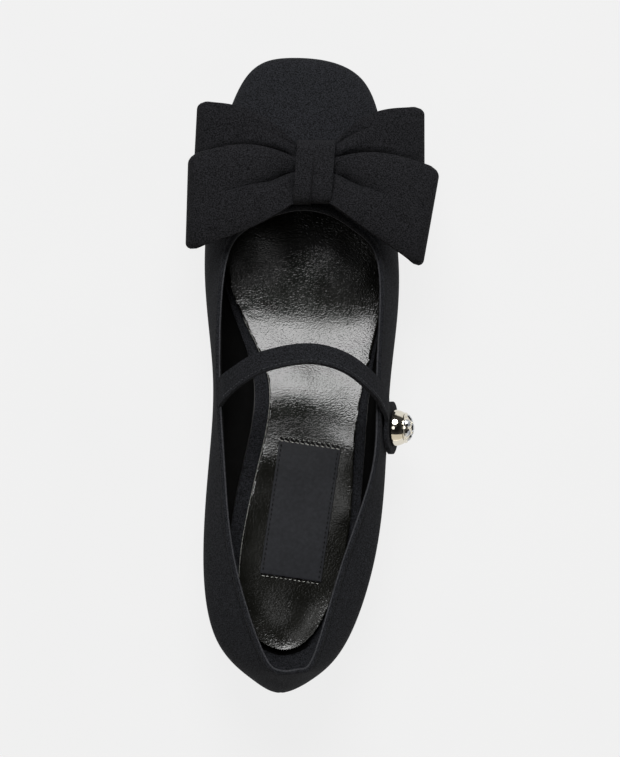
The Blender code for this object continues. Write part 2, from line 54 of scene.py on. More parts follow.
# Driving sizes of the last, its wall and the gap between layers
LENGTH = 246.0
BALL_WIDTH = 75.7
COUNTER_HEIGHT = 64.0
HEEL_HEIGHT = 18.0
TOE_SPRING = 5.0
WALL = 1.8
GAP = 0.3

# Places along the sole, as shares of the length
HEEL_SEAT_END = 0.34
TREAD_START = 0.68
TREAD_END = 0.77
HEEL_BREAST = 0.205

# Layers of the bottom. A grid is its points round or along the layer and its steps across.
OUTSOLE_THICKNESS = 3.0
OUTSOLE_MARGIN = 1.0
TOP_PIECE_THICKNESS = 3.0
HEEL_TAPER = 2.5
HEEL_TURN = 0.23
HEEL_EDGE_POINTS = 200
HEEL_CROWDING = 1.7
HEEL_GRID = (40, 10)
INSOLE_THICKNESS = 2.4
SOLE_GRID = (320, 10)
SOCK_THICKNESS = 1.0
SOCK_GRID = (400, 56)

# Sections of the last: girth point, inset of the feather edge, topline point, rise and crown. The
# points are hundredths of the ball width, the length and the counter height. Inset and crown are
# millimetres, and rise is the slope of the wall at the topline, in degrees. LAST_PARTS are the
# columns where a new part of a row begins.
LAST = (
    ("heel back", (-11.2, 0, 56, 8.5, -8, 3.8, 100, 76, 10)),
    ("heel turn, lateral", (5.5, 2.2, 55.7, 8.2, -1.5, 4.1, 98.4, 72, 9.7)),
    ("heel corner, lateral", (23.2, 8.3, 55, 7.5, 6.5, 6.8, 94.5, 66, 9)),
    ("heel side, lateral", (37.5, 21.5, 52, 6.5, 20.5, 20.5, 84, 62, 8)),
    ("shank, lateral", (43, 36, 44, 7.2, 36.5, 35.5, 75, 72, 8)),
    ("waist, lateral", (46.2, 50, 34, 5.7, 38.8, 49.5, 69, 74, 9)),
    ("ball, lateral", (50.7, 65.5, 23, 3.1, 40, 66, 62.5, 62, 12)),
    ("vamp, lateral", (44.6, 83, 21, 3.2, 28.5, 72, 61, 34, 12)),
    ("toe, lateral", (31.5, 96.7, 22, 3, 15.5, 74.5, 61, 22, 9.5)),
    ("toe tip", (-3.5, 100, 22.5, 3, 0, 75.5, 61, 20, 8.5)),
    ("toe, medial", (-28.9, 96.6, 22, 3, -15.5, 74.5, 61, 22, 9.5)),
    ("vamp, medial", (-44, 83, 21, 3.5, -29, 72.5, 61, 34, 12)),
    ("ball, medial", (-49.5, 66, 24, 5, -40.5, 66.5, 63, 64, 12)),
    ("waist, medial", (-45.5, 50, 45, 14.5, -43.5, 49.5, 71, 84, 7)),
    ("shank, medial", (-47.5, 36, 48, 12.5, -41, 35, 78, 76, 8)),
    ("heel side, medial", (-50.3, 20.5, 52, 8, -36, 21, 87, 66, 8)),
    ("heel corner, medial", (-43.7, 8.3, 55, 7.5, -23, 7.8, 95, 66, 9)),
    ("heel turn, medial", (-26, 2.2, 55.7, 8.2, -14.8, 4.1, 98.4, 72, 9.7)),
)
LAST_PARTS = (3, 4, 7, 8)

# Face of the wall: its rows under and over the girth, as shares, and its slopes at the two edges
TOPLINE_HANDLE = 0.32
TURN_STEP = 1e-4
INWARD_STEP = 0.07
FEATHER_OUT = 1.2
FEATHER_UP = 0.5
UNDER_SHARES = np.linspace(0, 1, 7)[:-1]
WALL_SHARES = np.linspace(0, 0.82, 19)
RING_COLUMNS = 288
RING_LENGTH = 2.5 * LENGTH

# Back seam: extra columns beside it, in millimetres, and the ridge of its turned edges and its
# furrow, each by height, distance from the seam and width
BACK_SEAM_COLUMNS = (0.25, 0.5, 0.8, 1.2, 1.7)
BACK_SEAM = ((0.06, 1.1, 0.5), (-0.08, 0.0, 0.35))

# Section of the topline's binding: how far down from the edge and how far out from the wall's face
BINDING = ((2.95, 0.0), (2.7, -0.14), (2.4, 0.08), (2.0, 0.3), (1.4, 0.42), (0.75, 0.36),
           (0.3, 0.1), (0.05, -0.35), (0.0, -0.65), (0.1, -1.0), (0.4, -1.35), (0.9, -1.55),
           (1.8, -1.65), (2.9, -1.75))
BINDING_OUTER_ROWS = 5

# Linings. The heel's lining starts at a row of the wall, and its turned-in rows are shares of the
# room before the rim. The rim's rows lie by millimetres outside the sock's edge.
LINING_EDGE = 2.2
LINING_THICKNESS = 0.4
LINING_GAP = 0.05
HEEL_LINING_TURN = 0.15
HEEL_LINING_ROW = 2
HEEL_LINING_TURNED_IN = (1.0, 0.5, 0.1)
# The rim is a strip of the dark kid over the insole behind the sock: painted shade
HEEL_RIM = 2.5
HEEL_RIM_ROWS = (-1.5, HEEL_RIM / 2, HEEL_RIM - 0.1)
HEEL_RIM_TURN = 0.085
HEEL_RIM_COLUMNS = 61

# Edging of the topline: a lighter cord on its crest as painted highlight, and its stitches
CREST_HIGHLIGHT_DOWN = 0.35
CREST_HIGHLIGHT_OUT = -1.05
CREST_HIGHLIGHT_RADIUS = 0.45
TOPLINE_STITCH_DOWN = 2.05
TOPLINE_STITCH_OUT = 0.3

# Stitches: pitch, length and thickness
TOPLINE_STITCH = (1.9, 1.3, 0.32)
STRAP_STITCH = (1.7, 1.1, 0.32)
LABEL_SIDE_STITCH = (1.9, 1.2, 0.5)
LABEL_HEEL_STITCH = (1.7, 1.1, 0.34)

# How far the sock lining lies inside the feather edge: turns round the ring and insets
SOCK_MARGIN = (
    ("heel", (0.0, 7.4)),
    ("heel corner, lateral", (0.1, 4.4)),
    ("shank, lateral", (0.23, 5.2)),
    ("ball, lateral", (0.33, 2.3)),
    ("toe", (0.5, 3.6)),
    ("ball, medial", (0.67, 4.0)),
    ("waist, medial", (0.73, 7.0)),
    ("shank, medial", (0.785, 7.0)),
    ("heel corner, medial", (0.9, 5.6)),
    ("heel again", (1.0, 7.4)),
)
SOCK_EDGE_POINTS = 240
# Pale cord on the sock's medial edge, a painted highlight: turns, radius, offsets out and down
SOCK_EDGE_HIGHLIGHT = (0.69, 0.85, 120)
SOCK_EDGE_HIGHLIGHT_RADIUS = 0.26
SOCK_EDGE_HIGHLIGHT_OUT = 0.05
SOCK_EDGE_HIGHLIGHT_DOWN = 0.3

# Lie of the sock: dents by size and depth, from one level of a noise, swells by place, height and
# radius, and long breaks by start, top, end and height. Its edge curls up round the heel. Creases
# run across the medial edge at the ball, from a start to an end, each with a lip on both sides.
SOCK_DENTS = ((17.0, 0.5), (8.0, 0.08))
SOCK_DENT_SHORTENING = 0.8
SOCK_DENT_LEVEL = 3.7
SOCK_SWELLS = ((-6.0, 120.0, 0.6, 12.0), (22.0, 93.0, 1.7, 11.0), (21.0, 70.0, 1.7, 10.0),
               (-17.0, 88.0, 0.7, 7.0), (-4.0, 26.0, 0.55, 6.5))
SOCK_BREAKS = ((95.0, 118.0, 140.0, 1.0), (140.5, 164.0, 200.0, 1.9))
SOCK_CURL = 1.6
SOCK_CURL_WIDTH = 9.0
SOCK_CURL_END = (22.0, 42.0)
CREASES = ((-25.0, 147.4, -16.0, 146.6), (-23.0, 144.0, -11.0, 142.6),
           (-22.0, 140.6, -15.0, 139.8))
CREASE_DEPTH = 0.5
CREASE_WIDTH = 0.8
CREASE_LIP = 0.4
CREASE_START = 0.25

# Label. Its whip stitches over the toe end are dark slanted threads between pale knots and pale
# dashes, by how far across, along and up from a spot on that end each starts and ends. The pale
# knots and dashes are painted highlights of the glossy sock and the label's edge between threads.
LABEL_THICKNESS = 0.5
LABEL_WIDTH = 24.0
LABEL_LENGTH = 52.0
LABEL_CENTRE = np.array((-0.5, 69.5))
LABEL_TURN = math.radians(-8.4)
LABEL_GRID = (25, 53)
LABEL_SWELL = 0.25
LABEL_FLAT_ACROSS = 4
LABEL_FLAT_ALONG = 6
LABEL_MARGIN = 1.0
LABEL_SIDE_LIFT = LABEL_THICKNESS + 0.12
LABEL_RUN_POINTS = 120
LABEL_HEEL_POINTS = 60
LABEL_HEEL_MARGIN = 0.5
LABEL_HEEL_OUT = 0.9
LABEL_WHIP_COUNT = 12
LABEL_WHIP = (
    ("label_whip", (-0.8, 1.3, 0.3), (0.8, 0.35, LABEL_THICKNESS + 0.25), 0.8, "dark"),
    ("label_whip_knot_highlights", (0.1, 1.35, 0.1), (0.6, 1.25, 0.1), 0.5, "pale"),
    ("label_whip_dash_highlights", (-0.85, 0.05, 0.5), (0.65, -0.25, 0.5), 0.42, "pale"),
)

# Strap: points of its line in the air, then points beside the wall with its lift from there
STRAP_THICKNESS = 1.6
STRAP_HALF_WIDTH = 4.0
STRAP_ROOT_FRONT = 0.724
STRAP_ROOT_BACK = 0.74
STRAP_ROOT_SUNK = 1.0
STRAP_FLARE = 13.0
STRAP_SLOPE = math.radians(24)
STRAP_LINE = (
    ("medial root", (-31.6, 117.4, 46.8)),
    ("medial rise", (-27.5, 120.2, 53.5)),
    ("medial shoulder", (-16.5, 126.8, 62.0)),
    ("crown", (0.8, 130.2, 66.5)),
    ("lateral shoulder", (15.0, 127.0, 62.5)),
    ("lateral fall", (26.2, 118.8, 53.4)),
)
STRAP_SEAT = (
    ("topline", (31.5, 111.4, 44.0, 0.6)),
    ("below the topline", (34.4, 106.4, 38.5, 0.3)),
    ("button", (35.0, 101.8, 32.0, 0.7)),
)
TAB_RADIUS = 10.2
TAB_ROWS = 24
TAB_END = math.radians(174)
BAND_ROWS = 96
LINE_STEPS = 24
STRAP_ACROSS = 20
STRAP_SEWN_ROWS = slice(4, BAND_ROWS + 2)
STRAP_SEWN_COLUMN = 3

# Button, with stones on its cap: one in the middle and a ring round it, by their tilt from its
# axis. A stone's table, crown and point are shares of its radius, and the beads' rings are shares
# of the stones' tilt.
BUTTON_RADIUS = 7.0
BUTTON_PROUD = 7.5
STONE_RADIUS = 2.05
STONE_TABLE = 0.52
STONE_CROWN = 0.5
STONE_POINT = -0.7
STONE_SINK = 0.12
STONE_RING_TILT = math.radians(33)
STONE_RING_COUNT = 6
BEAD_RADIUS = 0.27
BEAD_RINGS = (0.55, 1.33)
BEAD_STRETCH = 1.3
BEZEL_TILT = math.radians(52)
BEZEL_RADIUS = 0.42

# Knot of the bow: its creases are given by place across, depth and width
RIBBON = 1.9
KNOT_CENTRE = (4.2, 200.0)
KNOT_HALF_WIDTH = 7.3
KNOT_HALF_LENGTH = 11.4
KNOT_WALL = 1.8
KNOT_ROUND_TOE = 4.5
KNOT_ROUND_HEEL = 2.6
KNOT_SLANT = 0.085
KNOT_COLUMNS = 121
KNOT_ROWS = 96
KNOT_OVERLAP = 0.44
KNOT_OVERLAP_RISE = 0.4
KNOT_OVERLAP_STEP = 0.03
KNOT_CREASES = ((0.45, 0.9, 0.018), (0.33, 0.2, 0.03))
KNOT_CREASE_START = 0.75
KNOT_CREASE_EASE = 0.8

# Bow: each loop is a ribbon that leaves the knot, folds at its outer end and comes back beneath.
# A row has the loop's layer, the place and half width of its root, its rear and its front edge,
# the swell of its upper leaf, its pleat and its tuck. An edge is the plan point of its bend, and
# its tip. The pleat is the furrow that the knot gathers into it: depth, shares of the width at the
# knot and beyond, and reach. The tuck is how far a back loop dips under the loop in front, behind
# the line between a share at the root and one at the tip.
LEAF_SPACE = 1.5
UNDER_LEAF = 0.65
LOOPS = (
    ("bow_back_medial", 0, (203.4, 7.6), (-20, 196, -41, 198, 31), (-20, 229, -39.5, 226.5, 30),
     3.5, (2.0, 0.9, 0.8, 0.45), (3.4, 0.62, 0.27)),
    ("bow_back_lateral", 0, (203.4, 7.6), (26, 194, 46.5, 196, 31), (24, 227.5, 46.5, 224.5, 30),
     3.5, (4.4, 0.9, 0.82, 0.55), (3.4, 0.6, 0.22)),
    ("bow_front_medial", 1, (196.2, 8.7), (-18, 178, -44, 170.5, 45), (-22, 214.5, -43, 205, 44),
     5.6, (6.6, 0.7, 0.5, 0.75), (0, 0, 0)),
    ("bow_front_lateral", 1, (196.2, 8.7), (26, 177, 45, 164, 45), (30, 210.5, 51.5, 200, 44),
     5.6, (6.4, 0.68, 0.51, 0.65), (0, 0, 0)),
)
LOOP_ROWS = 40
LOOP_ACROSS = 72
SWELL_REACH = 0.45
FOLD_POWER = 26
CORNER_SPAN = 0.12
CORNER_ROUND = 0.06
PLEAT_TOE_WIDTH = 0.11
PLEAT_HEEL_WIDTH = 0.035
PLEAT_BEND = 0.3
PLEAT_BEND_POWER = 1.5
PLEAT_OPENING = 0.14
PLEAT_AT_KNOT = 0.4
EDGE_FALL = 0.6
EDGE_POWER = 4
TUCK_EASE = 0.15
TUCK_REACH = 0.1
TUCK_FADE = 0.6
TUCK_AT_TIP = 0.4
ROOT_SQUEEZE = 0.66
ROOT_NECK = 1.0
ROOT_DROOP = 1.8
ROOT_DIP = 2.0
ROOT_DIP_REACH = 0.09
ROOT_DIP_FADE = 0.25

# Studio: the photograph looks straight down from beside the medial side, with the toe upwards.
# A light has its tilt from straight overhead and its heading from the toe to the lateral side, in
# degrees, then distance, width and height in metres, radiance and colour. The room's colours are
# by height, from the floor upwards.
CAMERA_ON_LAST = (-43.78, 120.84, 1525.0)
AIM_ON_LAST = (3.3, 120.84, 25.0)
PIXEL = 0.3874
FRAME_HEIGHT = 757
SENSOR = 36.0
TABLE_SIZE = 40.0
TABLE_GLOW = 0.825
LIGHTS = (
    ("key softbox", (38, -4, 1.7, 0.95, 0.97, 11.7, "#ffffff")),
    ("foot of the key", (14, -4, 1.7, 0.7, 0.5, 0.07, "#ffffff")),
    ("medial card", (13, -90, 1.7, 0.6, 0.55, 1.5, "#ffffff")),
    ("lateral softbox", (55, 88, 1.7, 0.5, 0.5, 4.0, "#ffffff")),
    ("heel card", (66, 180, 1.5, 3.2, 1.3, 0.75, "#faf4e8")),
)
ROOM = ((0.03, "#d9d7d3"), (0.13, "#4a4846"), (0.7, "#3a3938"), (0.92, "#1b1b1b"))


def to_row(points):
    """Millimetres on the last as metres in the row frame."""
    return (np.asarray(points, dtype=float) - ORIGIN_ON_LAST) * MM


def numbers(table):
    """The numbers of a table with named rows."""
    return np.array([row for _, row in table], dtype=float)


def hermite(start, end, start_slope, end_slope, share):
    """Cubic from start to end with the given slopes."""
    square = share * share
    cube = square * share
    return ((2 * cube - 3 * square + 1) * start + (cube - 2 * square + share) * start_slope
            + (3 * square - 2 * cube) * end + (cube - square) * end_slope)


def smooth_step(value):
    """Ease from 0 to 1."""
    value = np.clip(value, 0.0, 1.0)
    return value * value * (3 - 2 * value)


def closed_spline(values, turns):
    """Smooth closed curve through the rows of values, read at turns from 0 to 1."""
    count = len(values)
    ring = np.eye(count)
    system = 4 * ring + np.roll(ring, 1, axis=0) + np.roll(ring, -1, axis=0)
    rises = np.roll(values, -1, axis=0) - np.roll(values, 1, axis=0)
    slopes = np.linalg.solve(system, 3 * rises)
    place = np.asarray(turns, dtype=float) % 1.0 * count
    index = np.floor(place).astype(int) % count
    after = (index + 1) % count
    share = (place - np.floor(place))[:, None]
    return hermite(values[index], values[after], slopes[index], slopes[after], share)


def unit(vectors):
    """Vectors brought to length 1."""
    return vectors / np.linalg.norm(vectors, axis=-1)[..., None]


def plan_normal(along):
    """Level unit direction to the inner side of a loop that runs along the given directions."""
    return unit(np.column_stack((-along[:, 1], along[:, 0], np.zeros(len(along)))))


def tilted(tilt, spin):
    """Direction tilted from straight up, towards a spin from +X to +Y."""
    flat = math.sin(tilt)
    return Vector((flat * math.cos(spin), flat * math.sin(spin), math.cos(tilt)))


def distances(line):
    """Distances of a line's points from its start, along it."""
    return np.concatenate(([0.0], np.cumsum(np.linalg.norm(np.diff(line, axis=0), axis=1))))


def along_line(values, reach, places):
    """Values at the given distances along a line, from those at its points' distances."""
    return np.column_stack([np.interp(places, reach, values[:, axis]) for axis in range(3)])


def tread_z(y):
    """Height of the outsole's under side: heel seat, shank, flat tread and toe spring."""
    share = np.asarray(y, dtype=float) / LENGTH
    shank = HEEL_HEIGHT * smooth_step((TREAD_START - share) / (TREAD_START - HEEL_SEAT_END))
    spring = TOE_SPRING * (np.clip(share - TREAD_END, 0, None) / (1 - TREAD_END)) ** 2
    return shank + spring


def last_sections(turns):
    """Girth, topline and feather points of the last, with the slopes there, for each turn."""
    size = (BALL_WIDTH / 100, LENGTH / 100, COUNTER_HEIGHT / 100)
    table = numbers(LAST) * np.array((*size, 1.0, *size, 1.0, 1.0))
    values = closed_spline(table, turns)
    girth, inset, top, rise, crown = np.split(values, LAST_PARTS, axis=1)
    ahead = closed_spline(table, turns + TURN_STEP) - closed_spline(table, turns - TURN_STEP)
    # Directions over a longer stretch keep the feather edge round where the heel is pointed
    stretch = closed_spline(table, turns + INWARD_STEP) - closed_spline(table, turns - INWARD_STEP)
    inward = plan_normal(stretch)
    feather = girth + inset * inward
    feather[:, 2] = tread_z(feather[:, 1]) + OUTSOLE_THICKNESS + GAP
    along = np.split(ahead, LAST_PARTS, axis=1)[2]
    lean = plan_normal(along) * np.cos(np.radians(rise)) + UP * np.sin(np.radians(rise))
    return {"girth": girth, "top": top, "crown": crown, "inset": inset, "feather": feather,
            "inward": inward, "lean": lean, "outward": unit(np.cross(along, lean))}


def ring_turns():
    """Turns round the ring, closer together beside the back seam."""
    even = np.arange(1, RING_COLUMNS) / RING_COLUMNS
    close = np.array(BACK_SEAM_COLUMNS) / RING_LENGTH
    return np.concatenate(([0.0], close, even, 1 - close[::-1]))


def wall_face(turns):
    """Rows of points on the outer face of the wall, from the feather edge to the binding."""
    last = last_sections(turns)
    girth, top, feather = last["girth"], last["top"], last["feather"]
    drop = girth[:, 2:3] - feather[:, 2:3]
    out = girth - feather
    out[:, 2] = 0.0
    under_slope = out * FEATHER_OUT + UP * drop * FEATHER_UP
    chord = np.linalg.norm(top - girth, axis=1)[:, None]
    # The slope of a cubic at its end is three times its handle there
    end_slope = last["lean"] * chord * 3 * TOPLINE_HANDLE
    rows = [hermite(feather, girth, under_slope, UP * drop * FEATHER_OUT, share)
            for share in UNDER_SHARES]
    rows += [hermite(girth, top, UP * last["crown"] * 3, end_slope, share) for share in WALL_SHARES]
    return np.array(rows)


def ring_normals(points):
    """Outward normals of rows of points that run round the ring."""
    along = np.roll(points, -1, axis=1) - np.roll(points, 1, axis=1)
    return unit(np.cross(along, np.gradient(points, axis=0)))


def on_binding(turns, down, out):
    """Points beside the topline: down along the wall and out from its face."""
    last = last_sections(turns)
    return last["top"] - last["lean"] * down + last["outward"] * out


def close_ring(points):
    """Repeat the first column at the end, so that the grid's edges meet."""
    return np.concatenate((points, points[:, :1]), axis=1)


def primitive(name, operator, **sizes):
    """Add a primitive with nothing else selected, and name it."""
    bpy.ops.object.select_all(action="DESELECT")
    operator(**sizes)
    piece = bpy.context.object
    piece.name = piece.data.name = name
    return piece


def lay_grid(name, points, weld=False):
    """A flat grid, cut as a primitive and laid on an array of points, with rows first."""
    rows, columns = points.shape[:2]
    piece = primitive(name, bpy.ops.mesh.primitive_grid_add, x_subdivisions=columns - 1,
                      y_subdivisions=rows - 1, size=1.0)
    flat = np.empty(len(piece.data.vertices) * 3)
    piece.data.vertices.foreach_get("co", flat)
    flat = flat.reshape(-1, 3) + 0.5
    column = np.rint(flat[:, 0] * (columns - 1)).astype(int)
    row = np.rint(flat[:, 1] * (rows - 1)).astype(int)
    piece.data.vertices.foreach_set("co", to_row(points[row, column]).ravel())
    merge = ((bpy.ops.mesh.remove_doubles, {"threshold": 1e-6}),
             (bpy.ops.mesh.dissolve_degenerate, {"threshold": 1e-7}))
    edit(piece, *(merge if weld else ()))
    return piece


def select_alone(piece):
    """Make a piece the only selected and active object."""
    bpy.ops.object.select_all(action="DESELECT")
    piece.select_set(True)
    bpy.context.view_layer.objects.active = piece


def edit(piece, *steps):
    """Run operators with their settings on all of a piece, and turn its faces outwards."""
    select_alone(piece)
    bpy.ops.object.mode_set(mode="EDIT")
    for operator, settings in (*steps, (bpy.ops.mesh.normals_make_consistent, {"inside": False})):
        bpy.ops.mesh.select_all(action="SELECT")
        operator(**settings)
    bpy.ops.object.mode_set(mode="OBJECT")


def apply_modifier(piece, kind, **settings):
    """Add a modifier, set it and apply it."""
    select_alone(piece)
    modifier = piece.modifiers.new(kind.lower(), kind)
    for name, value in settings.items():
        setattr(modifier, name, value)
    bpy.ops.object.modifier_apply(modifier=modifier.name)


def thicken(piece, thickness, offset, edge, even=False):
    """Give a laid sheet its thickness, even in its creases if asked to, and round its cut edges."""
    apply_modifier(piece, "SOLIDIFY", thickness=thickness * MM, offset=offset, use_even_offset=even)
    round_edges(piece, edge)


def round_edges(piece, width):
    """Round the sharp edges of a piece."""
    apply_modifier(piece, "BEVEL", width=width * MM, segments=3, limit_method="ANGLE",
                   angle_limit=math.radians(50), use_clamp_overlap=True)


def dress(piece, material, slot, *replaced, smooth=True):
    """Give a finished piece its material, smooth or faceted, and tie it to the shoe's body."""
    piece.data.polygons.foreach_set("use_smooth", [smooth] * len(piece.data.polygons))
    piece.data.materials.append(material)
    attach(piece, "root")
    if replaced:
        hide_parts(*replaced)


def put_in_scene(name, data):
    """New object of the scene with the given data."""
    made = bpy.data.objects.new(name, data)
    bpy.context.scene.collection.objects.link(made)
    return made


def copies(name, model, places):
    """Copies of a small model, one at each placement, joined as one piece."""
    points = np.array([vertex.co for vertex in model.data.vertices])
    faces = [list(face.vertices) for face in model.data.polygons]
    mesh = bpy.data.meshes.new(name)
    moved = [points @ np.array(place.to_3x3()).T + np.array(place.translation) for place in places]
    shifted = [[corner + index * len(points) for corner in face]
               for index in range(len(places)) for face in faces]
    mesh.from_pydata(np.concatenate(moved).tolist(), [], shifted)
    bpy.data.objects.remove(model)
    return put_in_scene(name, mesh)


def placement(middle, ahead, up, size):
    """Matrix that sets a model's X along ahead and its Z along up, at a place on the last."""
    ahead = Vector(ahead).normalized()
    side = Vector(up).cross(ahead).normalized()
    turn = Matrix((ahead, side, ahead.cross(side))).transposed()
    return Matrix.Translation(to_row(middle)) @ turn.to_4x4() @ Matrix.Diagonal((*size, 1.0))


def stitches(name, starts, ends, ups, thickness):
    """A row of stitches, each a short thread that dives into the cloth at both ends."""
    model = primitive("stitch", bpy.ops.mesh.primitive_uv_sphere_add, segments=8, ring_count=5,
                      radius=1.0, rotation=(0, math.pi / 2, 0))
    bpy.ops.object.transform_apply(location=False, rotation=True, scale=False)
    places = []
    for start, end, up in zip(starts, ends, ups):
        size = np.array((np.linalg.norm(end - start) / 2, thickness / 2, thickness / 2)) * MM
        places.append(placement((start + end) / 2, end - start, up, size))
    return copies(name, model, places)


def running_stitches(name, line, ups, stitch):
    """Even stitches along a line of close points, with the given pitch, length and thickness."""
    pitch, length, thickness = stitch
    reach = distances(line)
    count = int(reach[-1] // pitch)
    middles = (np.arange(count) + 0.5) * reach[-1] / count
    begin, end = middles - length / 2, middles + length / 2
    starts, ups = along_line(line, reach, begin), along_line(ups, reach, begin)
    return stitches(name, starts, along_line(line, reach, end), ups, thickness)


def tube(name, line, radius):
    """Round cord along an open line of close points, drawn to a point at both ends."""
    ahead = unit(np.gradient(line, axis=0))
    across = unit(np.cross(ahead, UP))
    over = np.cross(across, ahead)
    taper = np.ones((len(line), 1))
    taper[[0, -1]] = 0.0
    rows = [line + radius * taper * (across * math.cos(angle) + over * math.sin(angle))
            for angle in CORD_ANGLES]
    return lay_grid(name, np.array(rows), weld=True)


# Materials

def linear(hex_colour):
    """An sRGB hex colour as linear red, green, blue and alpha."""
    parts = [int(hex_colour[place:place + 2], 16) / 255 for place in (1, 3, 5)]
    return tuple(part / 12.92 if part <= 0.04045 else ((part + 0.055) / 1.055) ** 2.4
                 for part in parts) + (1.0,)


def per_mm(size):
    """Texture scale for a pattern with features of the given size in millimetres."""
    return 1 / (size * MM)


def set_inputs(owner, node, inputs):
    """Set or link a node's inputs by name."""
    for name, value in inputs.items():
        if isinstance(value, bpy.types.NodeSocket):
            owner.node_tree.links.new(value, node.inputs[name])
        else:
            node.inputs[name].default_value = value


def add(owner, kind, inputs=None, stops=(), **settings):
    """Add a shader node, set its options and the stops of its ramp, and set or link its inputs."""
    made = owner.node_tree.nodes.new("ShaderNode" + kind)
    for name, value in settings.items():
        setattr(made, name, value)
    for index, (position, colour) in enumerate(stops):
        elements = made.color_ramp.elements
        element = elements[index] if index < 2 else elements.new(position)
        element.position = position
        element.color = linear(colour)
    set_inputs(owner, made, inputs or {})
    return made


def mottled(name, size, detail, stops, roughness=0.5):
    """New material mottled by features of a size in mm, with its place socket and its pattern."""
    material = bpy.data.materials.new(name)
    material.use_nodes = True
    place = add(material, "TexCoord").outputs["Object"]
    pattern = add(material, "TexNoise", {"Vector": place, "Scale": per_mm(size), "Detail": detail,
                                         "Roughness": roughness}).outputs["Fac"]
    colour = add(material, "ValToRGB", {"Fac": pattern}, stops)
    finish(material, {"Base Color": colour.outputs["Color"]})
    return material, place, pattern


def finish(material, inputs, *reliefs):
    """Set the shader's inputs and its relief: heights, each with a strength and a depth in mm."""
    normal = {}
    for height, strength, depth in reliefs:
        bump = add(material, "Bump", {"Height": height, "Strength": strength,
                                      "Distance": depth * MM, **normal})
        normal = {"Normal": bump.outputs["Normal"]}
    set_inputs(material, material.node_tree.nodes["Principled BSDF"], {**inputs, **normal})
    return material


def wool_crepe(name, dark, light):
    """Black crepe: hard-twisted yarn that crinkles into a fine, dull, mottled grain."""
    material, place, grain = mottled(name, size=0.45, detail=1.0,
                                     stops=((0.32, dark), (0.68, light)))
    pebble = add(material, "TexVoronoi", {"Vector": place, "Scale": per_mm(0.5)})
    height = add(material, "Math", {0: pebble.outputs["Distance"], 1: grain}, operation="ADD")
    return finish(material, {"Roughness": 0.95, "Specular IOR Level": 0.1},
                  (height.outputs[0], 0.45, 0.2))


def kid_lining_and_shade():
    """Black kid lining: smooth skin with fine pores that hardly shines, its black deepened as
    painted shade in the shoe.
    """
    material, place, creases = mottled("black kid leather and painted shade", size=9, detail=4.0,
                                       stops=((0.35, "#040404"), (0.7, "#080808")))
    pores = add(material, "TexVoronoi", {"Vector": place, "Scale": per_mm(0.9)})
    return finish(material, {"Roughness": 0.55, "Specular IOR Level": 0.08},
                  (pores.outputs["Distance"], 0.12, 0.1), (creases, 0.35, 0.6))


def glazed_leather():
    """Black glazed sheepskin: polished under glass, so its pebbles mirror the light in flecks."""
    material, place, cloud = mottled("black glazed sheepskin", size=16, detail=3.0,
                                     stops=((0.35, "#141411"), (0.65, "#1d1d1a")))
    rough = add(material, "MapRange", {"Value": cloud, "From Min": 0.3, "From Max": 0.7,
                                       "To Min": 0.13, "To Max": 0.21})
    # The skin's fine creases run across the foot
    across = add(material, "Mapping", {"Vector": place, "Scale": (0.65, 1.0, 1.0)})
    ripple = add(material, "TexNoise", {"Vector": across.outputs[0], "Scale": per_mm(0.47),
                                        "Detail": 0.5, "Distortion": 0.6})
    return finish(material, {"Roughness": rough.outputs[0], "IOR": 1.5},
                  (ripple.outputs["Fac"], 0.85, 0.09))


def label_satin():
    """Black woven satin: close floats along the patch, dull and even, with faint cross ribs."""
    material, place, yarn = mottled("black woven satin", size=1.4, detail=3.0,
                                    stops=((0.3, "#27282b"), (0.75, "#303135")))
    turned = add(material, "Mapping", {"Vector": place, "Rotation": (0, 0, -LABEL_TURN)})
    set_inputs(material, yarn.node, {"Vector": turned.outputs[0]})
    # The weave is finer than a pixel, so its ribs are drawn 0.9 mm apart
    ribs = add(material, "TexWave", {"Vector": turned.outputs[0], "Distortion": 0.6, "Detail": 2.0,
                                     "Scale": per_mm(0.9) / (2 * math.pi)}, bands_direction="Y")
    return finish(material, {"Roughness": 0.62, "Specular IOR Level": 0.2},
                  (ribs.outputs["Fac"], 0.08, 0.05))


def sole_leather():
    """Dyed sole leather: rolled hard, with a fine hair-cell grain and a half-dull wax finish."""
    material, place, scuff = mottled("black sole leather", size=7, detail=6.0, roughness=0.65,
                                     stops=((0.3, "#121213"), (0.75, "#242424")))
    rough = add(material, "MapRange", {"Value": scuff, "To Min": 0.35, "To Max": 0.6})
    cells = add(material, "TexVoronoi", {"Vector": place, "Scale": per_mm(0.8)})
    return finish(material, {"Roughness": rough.outputs[0]}, (cells.outputs["Distance"], 0.2, 0.1))


def heel_rubber():
    """Moulded rubber: dull, with a fine pitted skin."""
    material, _, pits = mottled("black moulded rubber", size=0.6, detail=4.0,
                                stops=((0.3, "#121212"), (0.75, "#1e1e1e")))
    return finish(material, {"Roughness": 0.75}, (pits, 0.4, 0.15))


def gilt_metal():
    """Pale gilt brass: polished and plated, a mirror with faint wiping marks."""
    material, _, wipes = mottled("pale gilt brass", size=2.5, detail=5.0,
                                 stops=((0.3, "#dbd4c3"), (0.7, "#e9e4d7")))
    rough = add(material, "MapRange", {"Value": wipes, "To Min": 0.03, "To Max": 0.1})
    return finish(material, {"Metallic": 1.0, "Roughness": rough.outputs[0]})


def foiled_crystal():
    """Foiled crystal: clear facets over a silver back, which flash or go dark one by one."""
    material, _, _ = mottled("foiled crystal", size=1.2, detail=2.0,
                             stops=((0.35, "#85878b"), (0.65, "#d4d6d8")))
    return finish(material, {"Metallic": 1.0, "Roughness": 0.06})


